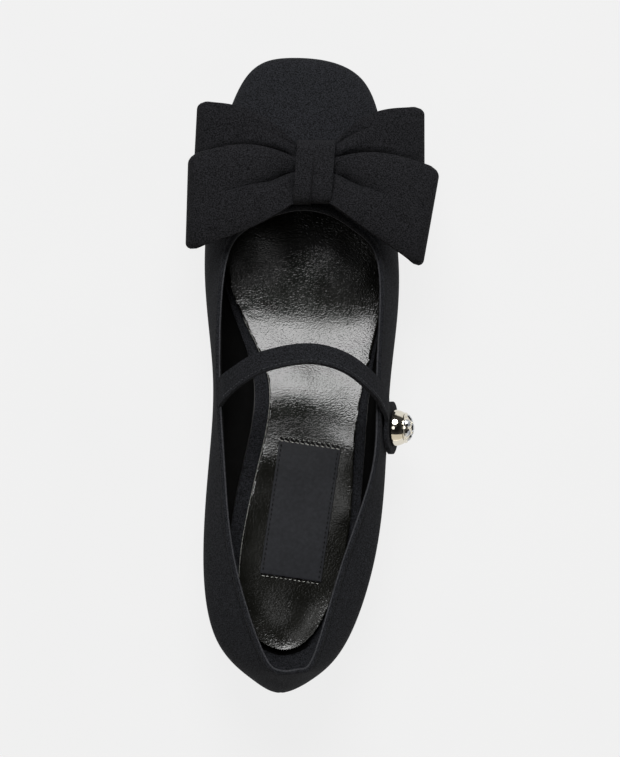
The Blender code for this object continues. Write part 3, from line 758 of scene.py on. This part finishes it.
def thread(name, dark, light):
    """Twisted polyester thread: a low gloss, broken by the ply."""
    material, _, ply = mottled(name, size=0.5, detail=2.0, stops=((0.35, dark), (0.65, light)))
    return finish(material, {"Roughness": 0.6, "Specular IOR Level": 0.3}, (ply, 0.4, 0.1))


def painted_edge_highlight():
    """Pale edge of the sock's skin, rough and broken: painted highlight where the medial edge
    catches light.
    """
    material, _, highlight_grain = mottled("sock edge painted highlight", size=0.9, detail=4.0, roughness=0.7,
                                 stops=((0.35, "#3b3b39"), (0.65, "#a3a39e")))
    return finish(material, {"Roughness": 0.85}, (highlight_grain, 0.5, 0.2))


def light_table():
    """Opal acrylic lit from below: pale and even, so that only a faint shadow falls on it."""
    material, _, _ = mottled("opal acrylic light table", size=60, detail=2.0,
                             stops=((0.3, "#424242"), (0.7, "#464646")))
    return finish(material, {"Roughness": 1.0, "Specular IOR Level": 0.0,
                             "Emission Color": linear("#ffffff"), "Emission Strength": TABLE_GLOW})


# Pieces of the shoe

def make_upper(crepe, kid, charcoal_thread_and_crest_highlight, dark_thread):
    """Crepe wall with its bound topline as one closed shell, its linings and its edging.

    Gives the search tree of its outer face, for what lies on it.
    """
    turns = ring_turns()
    face = wall_face(turns)
    normals = ring_normals(face)
    apart = np.linalg.norm(face - face[:, :1], axis=2)
    seam = sum(height * np.exp(-((apart - place) / width) ** 2)
               for height, place, width in BACK_SEAM)
    outer = face + normals * seam[..., None]
    inner = face - normals * WALL
    edge = np.array([on_binding(turns, down, out) for down, out in BINDING])
    section = np.concatenate((outer, edge, inner[::-1], outer[:1]))
    upper = lay_grid("upper_crepe", close_ring(section), weld=True)
    dress(upper, crepe, "crepe", "upper")
    make_linings(turns, face - normals * (WALL + LINING_GAP), crepe, kid)
    make_edging(turns, charcoal_thread_and_crest_highlight, dark_thread)
    outside = np.concatenate((face, edge[:BINDING_OUTER_ROWS]))
    seat = lay_grid("seat", close_ring(outside), weld=True)
    points = [tuple(np.array(vertex.co) / MM + ORIGIN_ON_LAST) for vertex in seat.data.vertices]
    tree = BVHTree.FromPolygons(points, [list(part.vertices) for part in seat.data.polygons])
    bpy.data.objects.remove(seat)
    return tree


def make_linings(turns, skin, crepe, kid):
    """Kid lining of the front, and the heel's cloth lining, turned in over the insole to a rim."""
    skin = np.concatenate((skin, on_binding(turns, LINING_EDGE, -WALL - LINING_GAP)[None]))
    from_heel = (turns + 0.5) % 1.0 - 0.5
    order = np.argsort(from_heel)
    heel = order[np.abs(from_heel[order]) <= HEEL_LINING_TURN]
    front = np.flatnonzero(np.abs(from_heel) >= HEEL_LINING_TURN)
    wall_foot = insole_inset(turns)[:, 0] + GAP
    room = np.maximum(sock_inset(turns) - HEEL_RIM - wall_foot, GAP)
    turned_in = [on_insole(turns, wall_foot + share * room, LINING_GAP)
                 for share in HEEL_LINING_TURNED_IN]
    heel_skin = np.concatenate((turned_in, skin[HEEL_LINING_ROW:]))
    # Painted shade: a strip of the dark kid between the sock's rear edge and the heel lining
    rim_turns = np.linspace(-HEEL_RIM_TURN, HEEL_RIM_TURN, HEEL_RIM_COLUMNS) % 1.0
    rim = [on_insole(rim_turns, sock_inset(rim_turns) - inside, 2 * LINING_GAP)
           for inside in HEEL_RIM_ROWS]
    for name, points, offset, cloth in (("heel_rim_painted_shade", np.array(rim), 0.0, kid),
                                        ("upper_lining", skin[:, front], -1.0, kid),
                                        ("heel_lining", heel_skin[:, heel], -1.0, crepe)):
        lining = lay_grid(name, points)
        thicken(lining, LINING_THICKNESS, offset, edge=0.12)
        dress(lining, cloth, "crepe")


def make_edging(turns, charcoal_thread_and_crest_highlight, dark_thread):
    """Lighter cord on the topline's crest as painted highlight, and the stitches that hold its
    binding.
    """
    rows = [on_binding(turns, CREST_HIGHLIGHT_DOWN + CREST_HIGHLIGHT_RADIUS * math.cos(angle),
                       CREST_HIGHLIGHT_OUT + CREST_HIGHLIGHT_RADIUS * math.sin(angle)) for angle in CORD_ANGLES]
    crest_highlight = lay_grid("topline_crest_highlight", close_ring(np.array(rows)), weld=True)
    dress(crest_highlight, charcoal_thread_and_crest_highlight, "crepe")
    fine = np.linspace(0, 1, 4 * RING_COLUMNS)
    line = on_binding(fine, TOPLINE_STITCH_DOWN, TOPLINE_STITCH_OUT)
    outward = last_sections(fine)["outward"]
    row = running_stitches("topline_stitches", line, outward, TOPLINE_STITCH)
    dress(row, dark_thread, "crepe")


def inset_loop(turns, inset):
    """The feather edge drawn inwards, as points in plan."""
    last = last_sections(turns)
    return last["feather"][:, 0:2] + last["inward"][:, 0:2] * np.reshape(inset, (-1, 1))


def insole_inset(turns):
    """Room that the foot of the wall takes inside the feather edge: a slanted wall takes less."""
    last = last_sections(turns)
    drop = last["girth"][:, 2:3] - last["feather"][:, 2:3]
    slant = np.arctan2(drop * FEATHER_UP, last["inset"] * FEATHER_OUT)
    return WALL * np.sin(slant) + 2 * GAP


def sock_inset(turns):
    """Inset of the sock lining round the ring, eased between the named places."""
    place, inset = numbers(SOCK_MARGIN).T
    index = np.clip(np.searchsorted(place, turns, side="right") - 1, 0, len(place) - 2)
    share = (turns - place[index]) / (place[index + 1] - place[index])
    return inset[index] + (inset[index + 1] - inset[index]) * smooth_step(share)


def outsole_top(plan):
    """Height of the outsole's upper side."""
    return tread_z(plan[..., 1]) + OUTSOLE_THICKNESS


def insole_top(plan):
    """Height of the insole's upper side."""
    return outsole_top(plan) + GAP + INSOLE_THICKNESS


def on_insole(turns, inset, lift):
    """Points over the insole, along the feather edge drawn inwards."""
    plan = inset_loop(turns, inset)
    return np.column_stack((plan, insole_top(plan) + lift))


def sock_curl(plan):
    """How far the sock is cupped: its edge is drawn up round the heel."""
    turns = np.linspace(0, 1, SOCK_EDGE_POINTS, endpoint=False)
    edge = inset_loop(turns, sock_inset(turns))
    apart = np.linalg.norm(plan[..., None, :] - edge, axis=-1).min(axis=-1)
    start, end = SOCK_CURL_END
    fade = smooth_step((end - plan[..., 1]) / (end - start))
    return SOCK_CURL * fade * np.clip(1 - apart / SOCK_CURL_WIDTH, 0, 1) ** 2


def sock_lie(plan):
    """How far the sock lies above or below its even height."""
    lie = sock_curl(plan)
    for place in np.ndindex(lie.shape):
        x, y = plan[place]
        spot = Vector((x, y * SOCK_DENT_SHORTENING, SOCK_DENT_LEVEL))
        lie[place] += sum(depth * noise.noise(spot / size) for size, depth in SOCK_DENTS)
    for start, top, end, height in SOCK_BREAKS:
        rise = smooth_step((plan[..., 1] - start) / (top - start))
        lie += height * (rise - smooth_step((plan[..., 1] - top) / (end - top)))
    for x, y, height, radius in SOCK_SWELLS:
        lie += height * np.exp(-((plan - np.array((x, y))) ** 2).sum(axis=-1) / radius ** 2)
    for start_x, start_y, end_x, end_y in CREASES:
        run = np.array((end_x - start_x, end_y - start_y))
        length = np.linalg.norm(run)
        offset = plan - np.array((start_x, start_y))
        along = offset @ run / length ** 2
        apart = np.abs(offset @ np.array((-run[1], run[0]))) / length
        fade = smooth_step(1 - np.maximum(along, 0))
        fade *= smooth_step((along + CREASE_START) / CREASE_START)
        lip = CREASE_LIP * np.exp(-((apart - 2 * CREASE_WIDTH) / CREASE_WIDTH) ** 2)
        lie += CREASE_DEPTH * fade * (lip - np.exp(-(apart / CREASE_WIDTH) ** 2))
    return lie


def sock_top(plan):
    """Height of the sock's upper side."""
    return insole_top(plan) + GAP + SOCK_THICKNESS + sock_lie(plan)


def between(lateral, medial, across):
    """Rows of plan points from a lateral to a medial line."""
    shares = np.linspace(0, 1, across + 1)[None, :, None]
    return lateral[:, None, :] * (1 - shares) + medial[:, None, :] * shares


def slab(name, low_plan, low_z, high_plan, high_z):
    """Closed layer between two height fields over rows of plan points."""
    floor = np.dstack((low_plan, low_z))
    roof = np.dstack((high_plan, high_z))
    return lay_grid(name, np.concatenate((floor, roof[:, ::-1], floor[:, :1]), axis=1), weld=True)


def sole_layer(name, inset, grid, under_z, over_z):
    """Layer of the bottom between two heights over the sole."""
    columns, across = grid
    half = columns // 2
    turns = np.arange(columns) / columns
    loop = inset_loop(turns, inset(turns))
    plan = between(loop[:half + 1], np.vstack((loop[:1], loop[:half - 1:-1])), across)
    return slab(name, plan, under_z(plan), plan, over_z(plan))


def make_bottom(leather, crepe, glazed, edge_highlight):
    """Outsole, covered insole, and sock with a pale cord on its medial edge as painted highlight.
    """
    outsole = sole_layer("outsole_leather", lambda turns: -OUTSOLE_MARGIN, SOLE_GRID,
                         lambda plan: tread_z(plan[..., 1]), outsole_top)
    round_edges(outsole, width=0.7)
    dress(outsole, leather, "sole_leather", "outsole")
    insole = sole_layer("insole_cover", insole_inset, SOLE_GRID,
                        lambda plan: outsole_top(plan) + GAP, insole_top)
    round_edges(insole, width=0.9)
    dress(insole, crepe, "crepe", "insole")
    sock = sole_layer("sock_lining", sock_inset, SOCK_GRID,
                      lambda plan: insole_top(plan) + GAP, sock_top)
    round_edges(sock, width=0.3)
    dress(sock, glazed, "sock_leather", "sock")
    # Painted highlight: a pale cord where the sock's medial edge catches the light
    turns = np.linspace(*SOCK_EDGE_HIGHLIGHT)
    plan = inset_loop(turns, sock_inset(turns) - SOCK_EDGE_HIGHLIGHT_OUT)
    line = np.column_stack((plan, sock_top(plan[None])[0] - SOCK_EDGE_HIGHLIGHT_DOWN))
    dress(tube("sock_edge_highlight", line, SOCK_EDGE_HIGHLIGHT_RADIUS), edge_highlight, "sock_leather")


def heel_plan(grow):
    """Rows of plan points across the heel, from its back to the straight breast."""
    rows, across = HEEL_GRID
    turns = np.linspace(0, HEEL_TURN, HEEL_EDGE_POINTS)
    places = np.linspace(0, 1, rows + 1) ** HEEL_CROWDING
    sides = []
    for way in (turns, -turns):
        edge = inset_loop(way, -grow)
        y = edge[0, 1] + places * (HEEL_BREAST * LENGTH - edge[0, 1])
        sides.append(np.column_stack((np.interp(y, edge[:, 1], edge[:, 0]), y)))
    return between(*sides, across)


def make_heel(crepe, rubber):
    """Covered heel block and its rubber top piece."""
    foot, head = heel_plan(OUTSOLE_MARGIN - HEEL_TAPER), heel_plan(OUTSOLE_MARGIN)
    level = np.ones(foot.shape[:2])
    block = slab("heel_cover", foot, level * (TOP_PIECE_THICKNESS + GAP), head,
                 level * (HEEL_HEIGHT - GAP))
    tip = slab("heel_tip", foot, level * 0.0, foot, level * TOP_PIECE_THICKNESS)
    for piece, width in ((block, 0.5), (tip, 0.4)):
        edit(piece, (bpy.ops.mesh.fill_holes, {"sides": 0}))
        round_edges(piece, width)
    dress(block, crepe, "crepe", "heel_block")
    dress(tip, rubber, "rubber", "heel_top_piece")


def label_plan(across, along):
    """Plan points of the label patch, from millimetres across and along it from its middle."""
    cos, sin = math.cos(LABEL_TURN), math.sin(LABEL_TURN)
    turned = np.stack((across * cos - along * sin, across * sin + along * cos), axis=-1)
    return turned + LABEL_CENTRE


def label_line(across, along, lift):
    """Points over the label's bed for matching arrays of places across and along it."""
    plan = label_plan(*np.broadcast_arrays(across, along))
    return np.column_stack((plan, sock_top(plan[None])[0] + GAP + lift))


def make_label(satin, threads):
    """Bare satin patch on the sock, with its sewn edges."""
    half_width, half_length = LABEL_WIDTH / 2, LABEL_LENGTH / 2
    across, along = np.meshgrid(*[np.linspace(-1, 1, count) for count in LABEL_GRID])
    plan = label_plan(across * half_width, along * half_length)
    top = sock_top(plan) + GAP + LABEL_THICKNESS
    top += LABEL_SWELL * (1 - across ** LABEL_FLAT_ACROSS) * (1 - along ** LABEL_FLAT_ALONG)
    patch = lay_grid("label_patch", np.dstack((plan, top)))
    thicken(patch, LABEL_THICKNESS, offset=-1.0, edge=0.18)
    dress(patch, satin, "label_satin", "sock_label")
    side, end = half_width - LABEL_MARGIN, half_length - LABEL_MARGIN
    run = np.linspace(-end, end, LABEL_RUN_POINTS)
    heel_side = half_width - LABEL_HEEL_MARGIN
    heel_run = np.linspace(-heel_side, heel_side, LABEL_HEEL_POINTS)
    for name, place in (("label_medial_stitches", -side), ("label_lateral_stitches", side)):
        line = label_line(place, run, LABEL_SIDE_LIFT)
        row = running_stitches(name, line, np.broadcast_to(UP, line.shape), LABEL_SIDE_STITCH)
        dress(row, threads["dark"], "label_satin")
    spots = np.linspace(-side, side, LABEL_WHIP_COUNT)
    # The pale knots and dashes here are painted highlights; the dark slants are thread
    for name, *places, thickness, colour in LABEL_WHIP:
        starts, ends = [label_line(spots + beside, half_length + beyond, lift)
                        for beside, beyond, lift in places]
        row = stitches(name, starts, ends, np.broadcast_to(UP, starts.shape), thickness)
        dress(row, threads[colour], "label_satin")
    line = label_line(heel_run, -half_length - LABEL_HEEL_OUT, 0.0)
    ups = np.broadcast_to(UP, line.shape)
    row = running_stitches("label_heel_stitches", line, ups, LABEL_HEEL_STITCH)
    dress(row, threads["pale"], "label_satin")


def smooth_line(points):
    """Smooth open curve through a few points, as close points."""
    points = np.asarray(points, dtype=float)
    slopes = np.gradient(points, axis=0)
    fine = [hermite(points[index], points[index + 1], slopes[index], slopes[index + 1], share)
            for index in range(len(points) - 1)
            for share in np.linspace(0, 1, LINE_STEPS, endpoint=False)]
    return np.array(fine + [points[-1]])


def make_strap(tree, crepe, charcoal_thread_and_crest_highlight):
    """Instep strap that grows out of the medial topline, with a round tab on the lateral wall.

    Gives the middle of the tab and its outward direction, for the button.
    """
    seat = []
    for *place, lift in numbers(STRAP_SEAT):
        point, normal, _, _ = tree.find_nearest(Vector(place))
        seat.append(np.array(point + normal * (lift + STRAP_THICKNESS / 2)))
    fall = unit(seat[-1] - seat[-2])
    fine = smooth_line([*numbers(STRAP_LINE), *seat, seat[-1] + fall * TAB_RADIUS])
    fine_reach = distances(fine)
    button_at = fine_reach[-1 - LINE_STEPS]
    tab_angles = np.linspace(0, TAB_END, TAB_ROWS + 1)
    band = np.linspace(0, button_at - TAB_RADIUS, BAND_ROWS, endpoint=False)
    reach = np.concatenate((band, button_at - TAB_RADIUS * np.cos(tab_angles)))
    half = np.concatenate((np.zeros(BAND_ROWS), TAB_RADIUS * np.sin(tab_angles)))
    half = np.where(reach < button_at, np.maximum(half, STRAP_HALF_WIDTH), half)
    line = along_line(fine, fine_reach, reach)
    ahead = unit(np.gradient(line, reach, axis=0))
    slope = STRAP_SLOPE * np.sin(math.pi * np.clip(reach / button_at, 0, 1)) ** 2
    side = np.column_stack((np.zeros_like(slope), np.cos(slope), -np.sin(slope)))
    side = unit(side - np.sum(side * ahead, axis=1)[:, None] * ahead)
    shares = np.linspace(-1, 1, STRAP_ACROSS + 1)[:, None]
    root_turns = np.linspace(STRAP_ROOT_BACK, STRAP_ROOT_FRONT, STRAP_ACROSS + 1)
    root = on_binding(root_turns, STRAP_ROOT_SUNK, -WALL / 3)
    root_shift = root - (line[0] + side[0] * shares * STRAP_HALF_WIDTH)
    flare = np.clip(1 - reach / STRAP_FLARE, 0, None) ** 2
    points = np.array([line[row] + side[row] * shares * half[row] + root_shift * flare[row]
                       for row in range(len(reach))])
    strap = lay_grid("strap_band", points)
    thicken(strap, STRAP_THICKNESS, offset=0.0, edge=0.8)
    dress(strap, crepe, "crepe", "strap")
    face = unit(np.cross(side, -ahead))[STRAP_SEWN_ROWS]
    face *= np.sign(face[len(face) // 2, 2])
    sewn = points[STRAP_SEWN_ROWS, STRAP_SEWN_COLUMN] + face * (STRAP_THICKNESS / 2)
    dress(running_stitches("strap_stitches", sewn, face, STRAP_STITCH), charcoal_thread_and_crest_highlight, "crepe")
    button_row = np.argmin(np.abs(reach - button_at))
    return seat[-1], np.cross(side[button_row], -ahead[button_row])


def make_button(middle, normal, metal, crystal):
    """Mirror ball on the strap's tab, with a cap of foiled stones held by a bezel and beads."""
    axis = Vector(normal).normalized()
    centre = Vector(middle) + axis * (STRAP_THICKNESS / 2 + GAP + BUTTON_PROUD - BUTTON_RADIUS)
    turn = axis.to_track_quat("Z", "Y").to_matrix()
    place = Matrix.Translation(to_row(centre)) @ turn.to_4x4()
    ball = primitive("button_ball", bpy.ops.mesh.primitive_uv_sphere_add, segments=64,
                     ring_count=32, radius=BUTTON_RADIUS * MM)
    foot = (0, 0, (BUTTON_RADIUS - BUTTON_PROUD) * MM)
    edit(ball, (bpy.ops.mesh.bisect, {"plane_co": foot, "plane_no": (0, 0, -1), "use_fill": True,
                                      "clear_outer": True}))
    ball.data.transform(place)
    round_edges(ball, width=0.4)
    dress(ball, metal, "gilt_metal", "strap_button")
    bezel = primitive("button_bezel", bpy.ops.mesh.primitive_torus_add, major_segments=64,
                      major_radius=BUTTON_RADIUS * math.sin(BEZEL_TILT) * MM, minor_segments=10,
                      minor_radius=BEZEL_RADIUS * MM)
    lift = Matrix.Translation((0, 0, BUTTON_RADIUS * math.cos(BEZEL_TILT) * MM))
    bezel.data.transform(place @ lift)
    dress(bezel, metal, "gilt_metal")
    spins = np.arange(STONE_RING_COUNT) / STONE_RING_COUNT * 2 * math.pi
    half_step = math.pi / STONE_RING_COUNT
    stones = [(0.0, 0.0)] + [(STONE_RING_TILT, spin) for spin in spins]
    beads = [(share * STONE_RING_TILT, spin + half_step) for share in BEAD_RINGS for spin in spins]
    bead = primitive("bead", bpy.ops.mesh.primitive_uv_sphere_add, segments=12, ring_count=8,
                     radius=BEAD_RADIUS * MM)
    for name, model, spots, sink, size, material in (
            ("button_stones", stone_model(), stones, STONE_SINK, (1.0, 1.0, 1.0), crystal),
            ("button_beads", bead, beads, 0.0, (1.0, 1.0, BEAD_STRETCH), metal)):
        matrices = []
        for spot in spots:
            out = turn @ tilted(*spot)
            seat = centre + out * (BUTTON_RADIUS - sink)
            matrices.append(placement(seat, out.orthogonal(), out, size))
        dress(copies(name, model, matrices), material, "gilt_metal", smooth=material is metal)


def stone_model():
    """Round stone: a flat table, a crown of eight facets and a girdle set into the metal."""
    radius = STONE_RADIUS * MM
    model = primitive("stone", bpy.ops.mesh.primitive_cone_add, vertices=8, radius1=radius,
                      radius2=STONE_TABLE * radius, depth=STONE_CROWN * radius)
    edit(model, (bpy.ops.mesh.poke, {}))
    for vertex in model.data.vertices:
        if vertex.co.xy.length < STONE_TABLE * radius / 2 and vertex.co.z < 0:
            vertex.co.z = STONE_POINT * radius
    return model


def knot_x(side, y):
    """The x of a side of the knot, from -1 to 1, at places along it."""
    return KNOT_CENTRE[0] + side * KNOT_HALF_WIDTH + KNOT_SLANT * (y - KNOT_CENTRE[1])


def vamp_ridge(tree, y):
    """Highest point of the vamp under the knot, at one place along it."""
    spots = (KNOT_CENTRE[0] + side * KNOT_HALF_WIDTH for side in (-1, 0, 1))
    above = 2 * COUNTER_HEIGHT
    return max(tree.ray_cast(Vector((x, y, above)), Vector((0, 0, -1)))[0].z for x in spots)


def leaf_height(layer):
    """Height of a loop's middle over the vamp, where the knot holds it."""
    under = UNDER_LEAF * LEAF_SPACE + RIBBON / 2
    over = LEAF_SPACE + RIBBON / 2
    return 3 * GAP + KNOT_WALL + under + layer * (over + GAP + under)


def in_knot(root, hand, depth):
    """The root of a leaf carried on into the knot, which squeezes it together."""
    squeezed = root - np.array((hand * depth, 0.0, 0.0))
    squeezed[:, 1] = KNOT_CENTRE[1] + (root[:, 1] - KNOT_CENTRE[1]) * ROOT_SQUEEZE
    squeezed[:, 2] -= ROOT_DROOP * np.linspace(1, 0, len(root)) ** 2
    return squeezed


def make_loop(tree, crepe, name, layer, root, rear_edge, front_edge, puff, pleat, tuck):
    """One ribbon loop: upper leaf, fold at the outer end and under leaf, gathered at the knot."""
    root_y, root_half = root
    pleat_depth, pleat_root, pleat_share, pleat_reach = pleat
    tuck_depth, tuck_root, tuck_tip = tuck
    hand = math.copysign(1.0, front_edge[0])
    edges = []
    for side, (bend_x, bend_y, *tip) in ((-1, rear_edge), (1, front_edge)):
        y = root_y + side * root_half
        z = vamp_ridge(tree, y) + leaf_height(layer)
        start = np.array((knot_x(hand, y), y, z))
        bend = np.array((bend_x, bend_y, (z + tip[2]) / 2))
        edges.append((start, bend, np.array(tip)))
    shares = np.linspace(0, 1, LOOP_ACROSS + 1)[:, None]
    off_middle = np.abs(2 * shares - 1)
    belly = 1 - EDGE_FALL * off_middle ** EDGE_POWER
    corner = 1 - np.sqrt(1 - np.clip(1 - (1 - off_middle) / CORNER_SPAN, 0, 1) ** 2)
    over, under = [], []
    for reach in np.sin(np.linspace(0, 1, LOOP_ROWS + 1) * math.pi / 2):
        short = reach * (1 - CORNER_ROUND * corner)
        rear, front = [(1 - short) ** 2 * start + 2 * short * (1 - short) * bend + short ** 2 * tip
                       for start, bend, tip in edges]
        middle = rear * (1 - shares) + front * shares
        swell = LEAF_SPACE + (puff - LEAF_SPACE) * belly * smooth_step(reach / SWELL_REACH)
        fold = math.sqrt(max(0.0, 1 - reach ** FOLD_POWER))
        # The pleat's toe side slopes gently into it, and its heel side rises steeply
        bent = max(0.0, 1 - reach / PLEAT_BEND) ** PLEAT_BEND_POWER
        beside = shares - pleat_share - (pleat_root - pleat_share) * bent
        furrow = np.exp(-np.abs(beside) / np.where(beside > 0, PLEAT_TOE_WIDTH, PLEAT_HEEL_WIDTH))
        opening = PLEAT_AT_KNOT + (1 - PLEAT_AT_KNOT) * smooth_step(reach / PLEAT_OPENING)
        fade = max(0.0, 1 - reach / pleat_reach) * opening
        tuck_line = tuck_root + (tuck_tip - tuck_root) * reach
        tucked = smooth_step((tuck_line - shares) / TUCK_EASE + 1) * smooth_step(reach / TUCK_REACH)
        tucked *= 1 - (1 - TUCK_AT_TIP) * smooth_step((reach - TUCK_FADE) / (1 - TUCK_FADE))
        sunk = pleat_depth * furrow * fade + tuck_depth * tucked * fold
        # Beside the knot the leaf dips, but for its toe edge
        dip = ROOT_DIP * max(0.0, 1 - reach / ROOT_DIP_REACH) ** 2
        sunk += dip * smooth_step((1 - shares) / ROOT_DIP_FADE)
        # The under leaf gives way where the upper leaf would sink into it
        way = np.clip(sunk + RIBBON + GAP - swell * (1 + UNDER_LEAF), 0, sunk)
        over.append(middle + UP * (swell * fold - sunk))
        under.append(middle - UP * (swell * fold * UNDER_LEAF + way))
    hidden = (KNOT_HALF_WIDTH - 2 * GAP, ROOT_NECK)
    rows = [in_knot(over[0], hand, depth) for depth in hidden] + over
    rows += under[-2::-1] + [in_knot(under[0], hand, depth) for depth in hidden[::-1]]
    loop = lay_grid(name + "_ribbon", np.array(rows))
    thicken(loop, RIBBON, offset=0.0, edge=0.6)
    dress(loop, crepe, "crepe", name)


def make_knot(tree, crepe):
    """Band round the roots of the loops, creased along its length."""
    low = GAP + KNOT_WALL / 2
    high = leaf_height(1) + LEAF_SPACE + RIBBON / 2 + 2 * GAP + KNOT_WALL / 2
    angles = np.linspace(0, 2 * math.pi, KNOT_ROWS + 1)
    power = 2 / np.where(np.cos(angles) > 0, KNOT_ROUND_TOE, KNOT_ROUND_HEEL)
    along, lift = [np.sign(wave) * np.abs(wave) ** power
                   for wave in (np.cos(angles), np.sin(angles))]
    y = KNOT_CENTRE[1] + KNOT_HALF_LENGTH * along
    ridge = np.array([vamp_ridge(tree, place) for place in y])
    z = ridge + low + (high - low) * (lift + 1) / 2
    outer = unit(np.column_stack((np.zeros_like(y), along * (high - low) / 2,
                                  lift * KNOT_HALF_LENGTH)))
    # The creases open towards the throat and close towards the toe
    open_share = smooth_step((KNOT_CREASE_START - along) / KNOT_CREASE_EASE)[:, None]
    columns = []
    for share in np.linspace(0, 1, KNOT_COLUMNS):
        sunk = sum(depth * math.exp(-abs(share - place) / width)
                   for place, depth, width in KNOT_CREASES)
        raised = float(smooth_step((KNOT_OVERLAP - share) / KNOT_OVERLAP_STEP + 0.5))
        relief = (KNOT_OVERLAP_RISE * raised - sunk) * open_share
        columns.append(np.column_stack((knot_x(2 * share - 1, y), y, z)) + outer * relief)
    band = lay_grid("bow_knot_band", np.array(columns), weld=True)
    thicken(band, KNOT_WALL, offset=0.0, edge=0.5, even=True)
    dress(band, crepe, "crepe", "bow_knot")


# Studio

def make_camera():
    """Camera at the photograph's place over the shoe, with the sensor's long side upright."""
    camera = bpy.data.cameras.new("camera")
    camera.sensor_width = SENSOR
    distance = CAMERA_ON_LAST[2] - AIM_ON_LAST[2]
    camera.lens = SENSOR * distance / (FRAME_HEIGHT * PIXEL)
    holder = put_in_scene("camera", camera)
    holder.location = to_row(CAMERA_ON_LAST)
    back = (holder.location - Vector(to_row(AIM_ON_LAST))).normalized()
    right = Vector((0, 1, 0)).cross(back).normalized()
    holder.rotation_euler = Matrix((right, back.cross(right), back)).transposed().to_euler()
    bpy.context.scene.camera = holder


def add_softbox(name, tilt, heading, distance, width, height, radiance, colour):
    """Oval soft light turned to the shoe."""
    light = bpy.data.lights.new(name, "AREA")
    light.shape = "ELLIPSE"
    light.size = width
    light.size_y = height
    light.energy = radiance * math.pi * (math.pi / 4) * width * height
    light.color = linear(colour)[:3]
    holder = put_in_scene(name, light)
    way = tilted(math.radians(tilt), math.radians(90 - heading))
    holder.location = way * distance
    holder.rotation_euler = (-way).to_track_quat("-Z", "Y").to_euler()


def make_studio(table):
    """Pale light table, five oval soft lights and a dim room that is brighter near the floor."""
    floor = primitive("floor", bpy.ops.mesh.primitive_plane_add, size=TABLE_SIZE)
    floor.data.materials.append(table)
    for name, row in LIGHTS:
        add_softbox(name, *row)
    world = bpy.data.worlds.new("studio")
    world.use_nodes = True
    way = add(world, "SeparateXYZ", {"Vector": add(world, "TexCoord").outputs["Generated"]})
    room = add(world, "ValToRGB", {"Fac": way.outputs["Z"]}, ROOM)
    set_inputs(world, world.node_tree.nodes["Background"], {"Color": room.outputs["Color"]})
    bpy.context.scene.world = world
    bpy.context.scene.view_settings.view_transform = "Standard"


make_camera()
make_studio(light_table())

crepe = wool_crepe("black wool crepe", "#0c0d0e", "#2d2e32")
ribbon = wool_crepe("black ribbon crepe", "#090a0b", "#2a2a2d")
dark_thread = thread("black thread", "#010101", "#080809")
# Pale thread for the label's heel stitches, also painted highlights as the whip stitch's knots and
# dashes
pale_thread_and_highlights = thread("grey thread and painted highlights", "#8d8d88", "#d8d8d2")
# Charcoal thread for the strap's stitches, also a painted highlight as the cord on the topline's
# crest
charcoal_thread_and_crest_highlight = thread("charcoal thread and painted crest highlight", "#1c1d20", "#3d3e43")

upper_tree = make_upper(crepe, kid_lining_and_shade(), charcoal_thread_and_crest_highlight, dark_thread)
make_bottom(sole_leather(), crepe, glazed_leather(), painted_edge_highlight())
make_heel(crepe, heel_rubber())
make_label(label_satin(), {"dark": dark_thread, "pale": pale_thread_and_highlights})
tab_middle, tab_normal = make_strap(upper_tree, crepe, charcoal_thread_and_crest_highlight)
make_button(tab_middle, tab_normal, gilt_metal(), foiled_crystal())
for loop in LOOPS:
    make_loop(upper_tree, ribbon, *loop)
make_knot(upper_tree, ribbon)

bpy.context.view_layer.update()
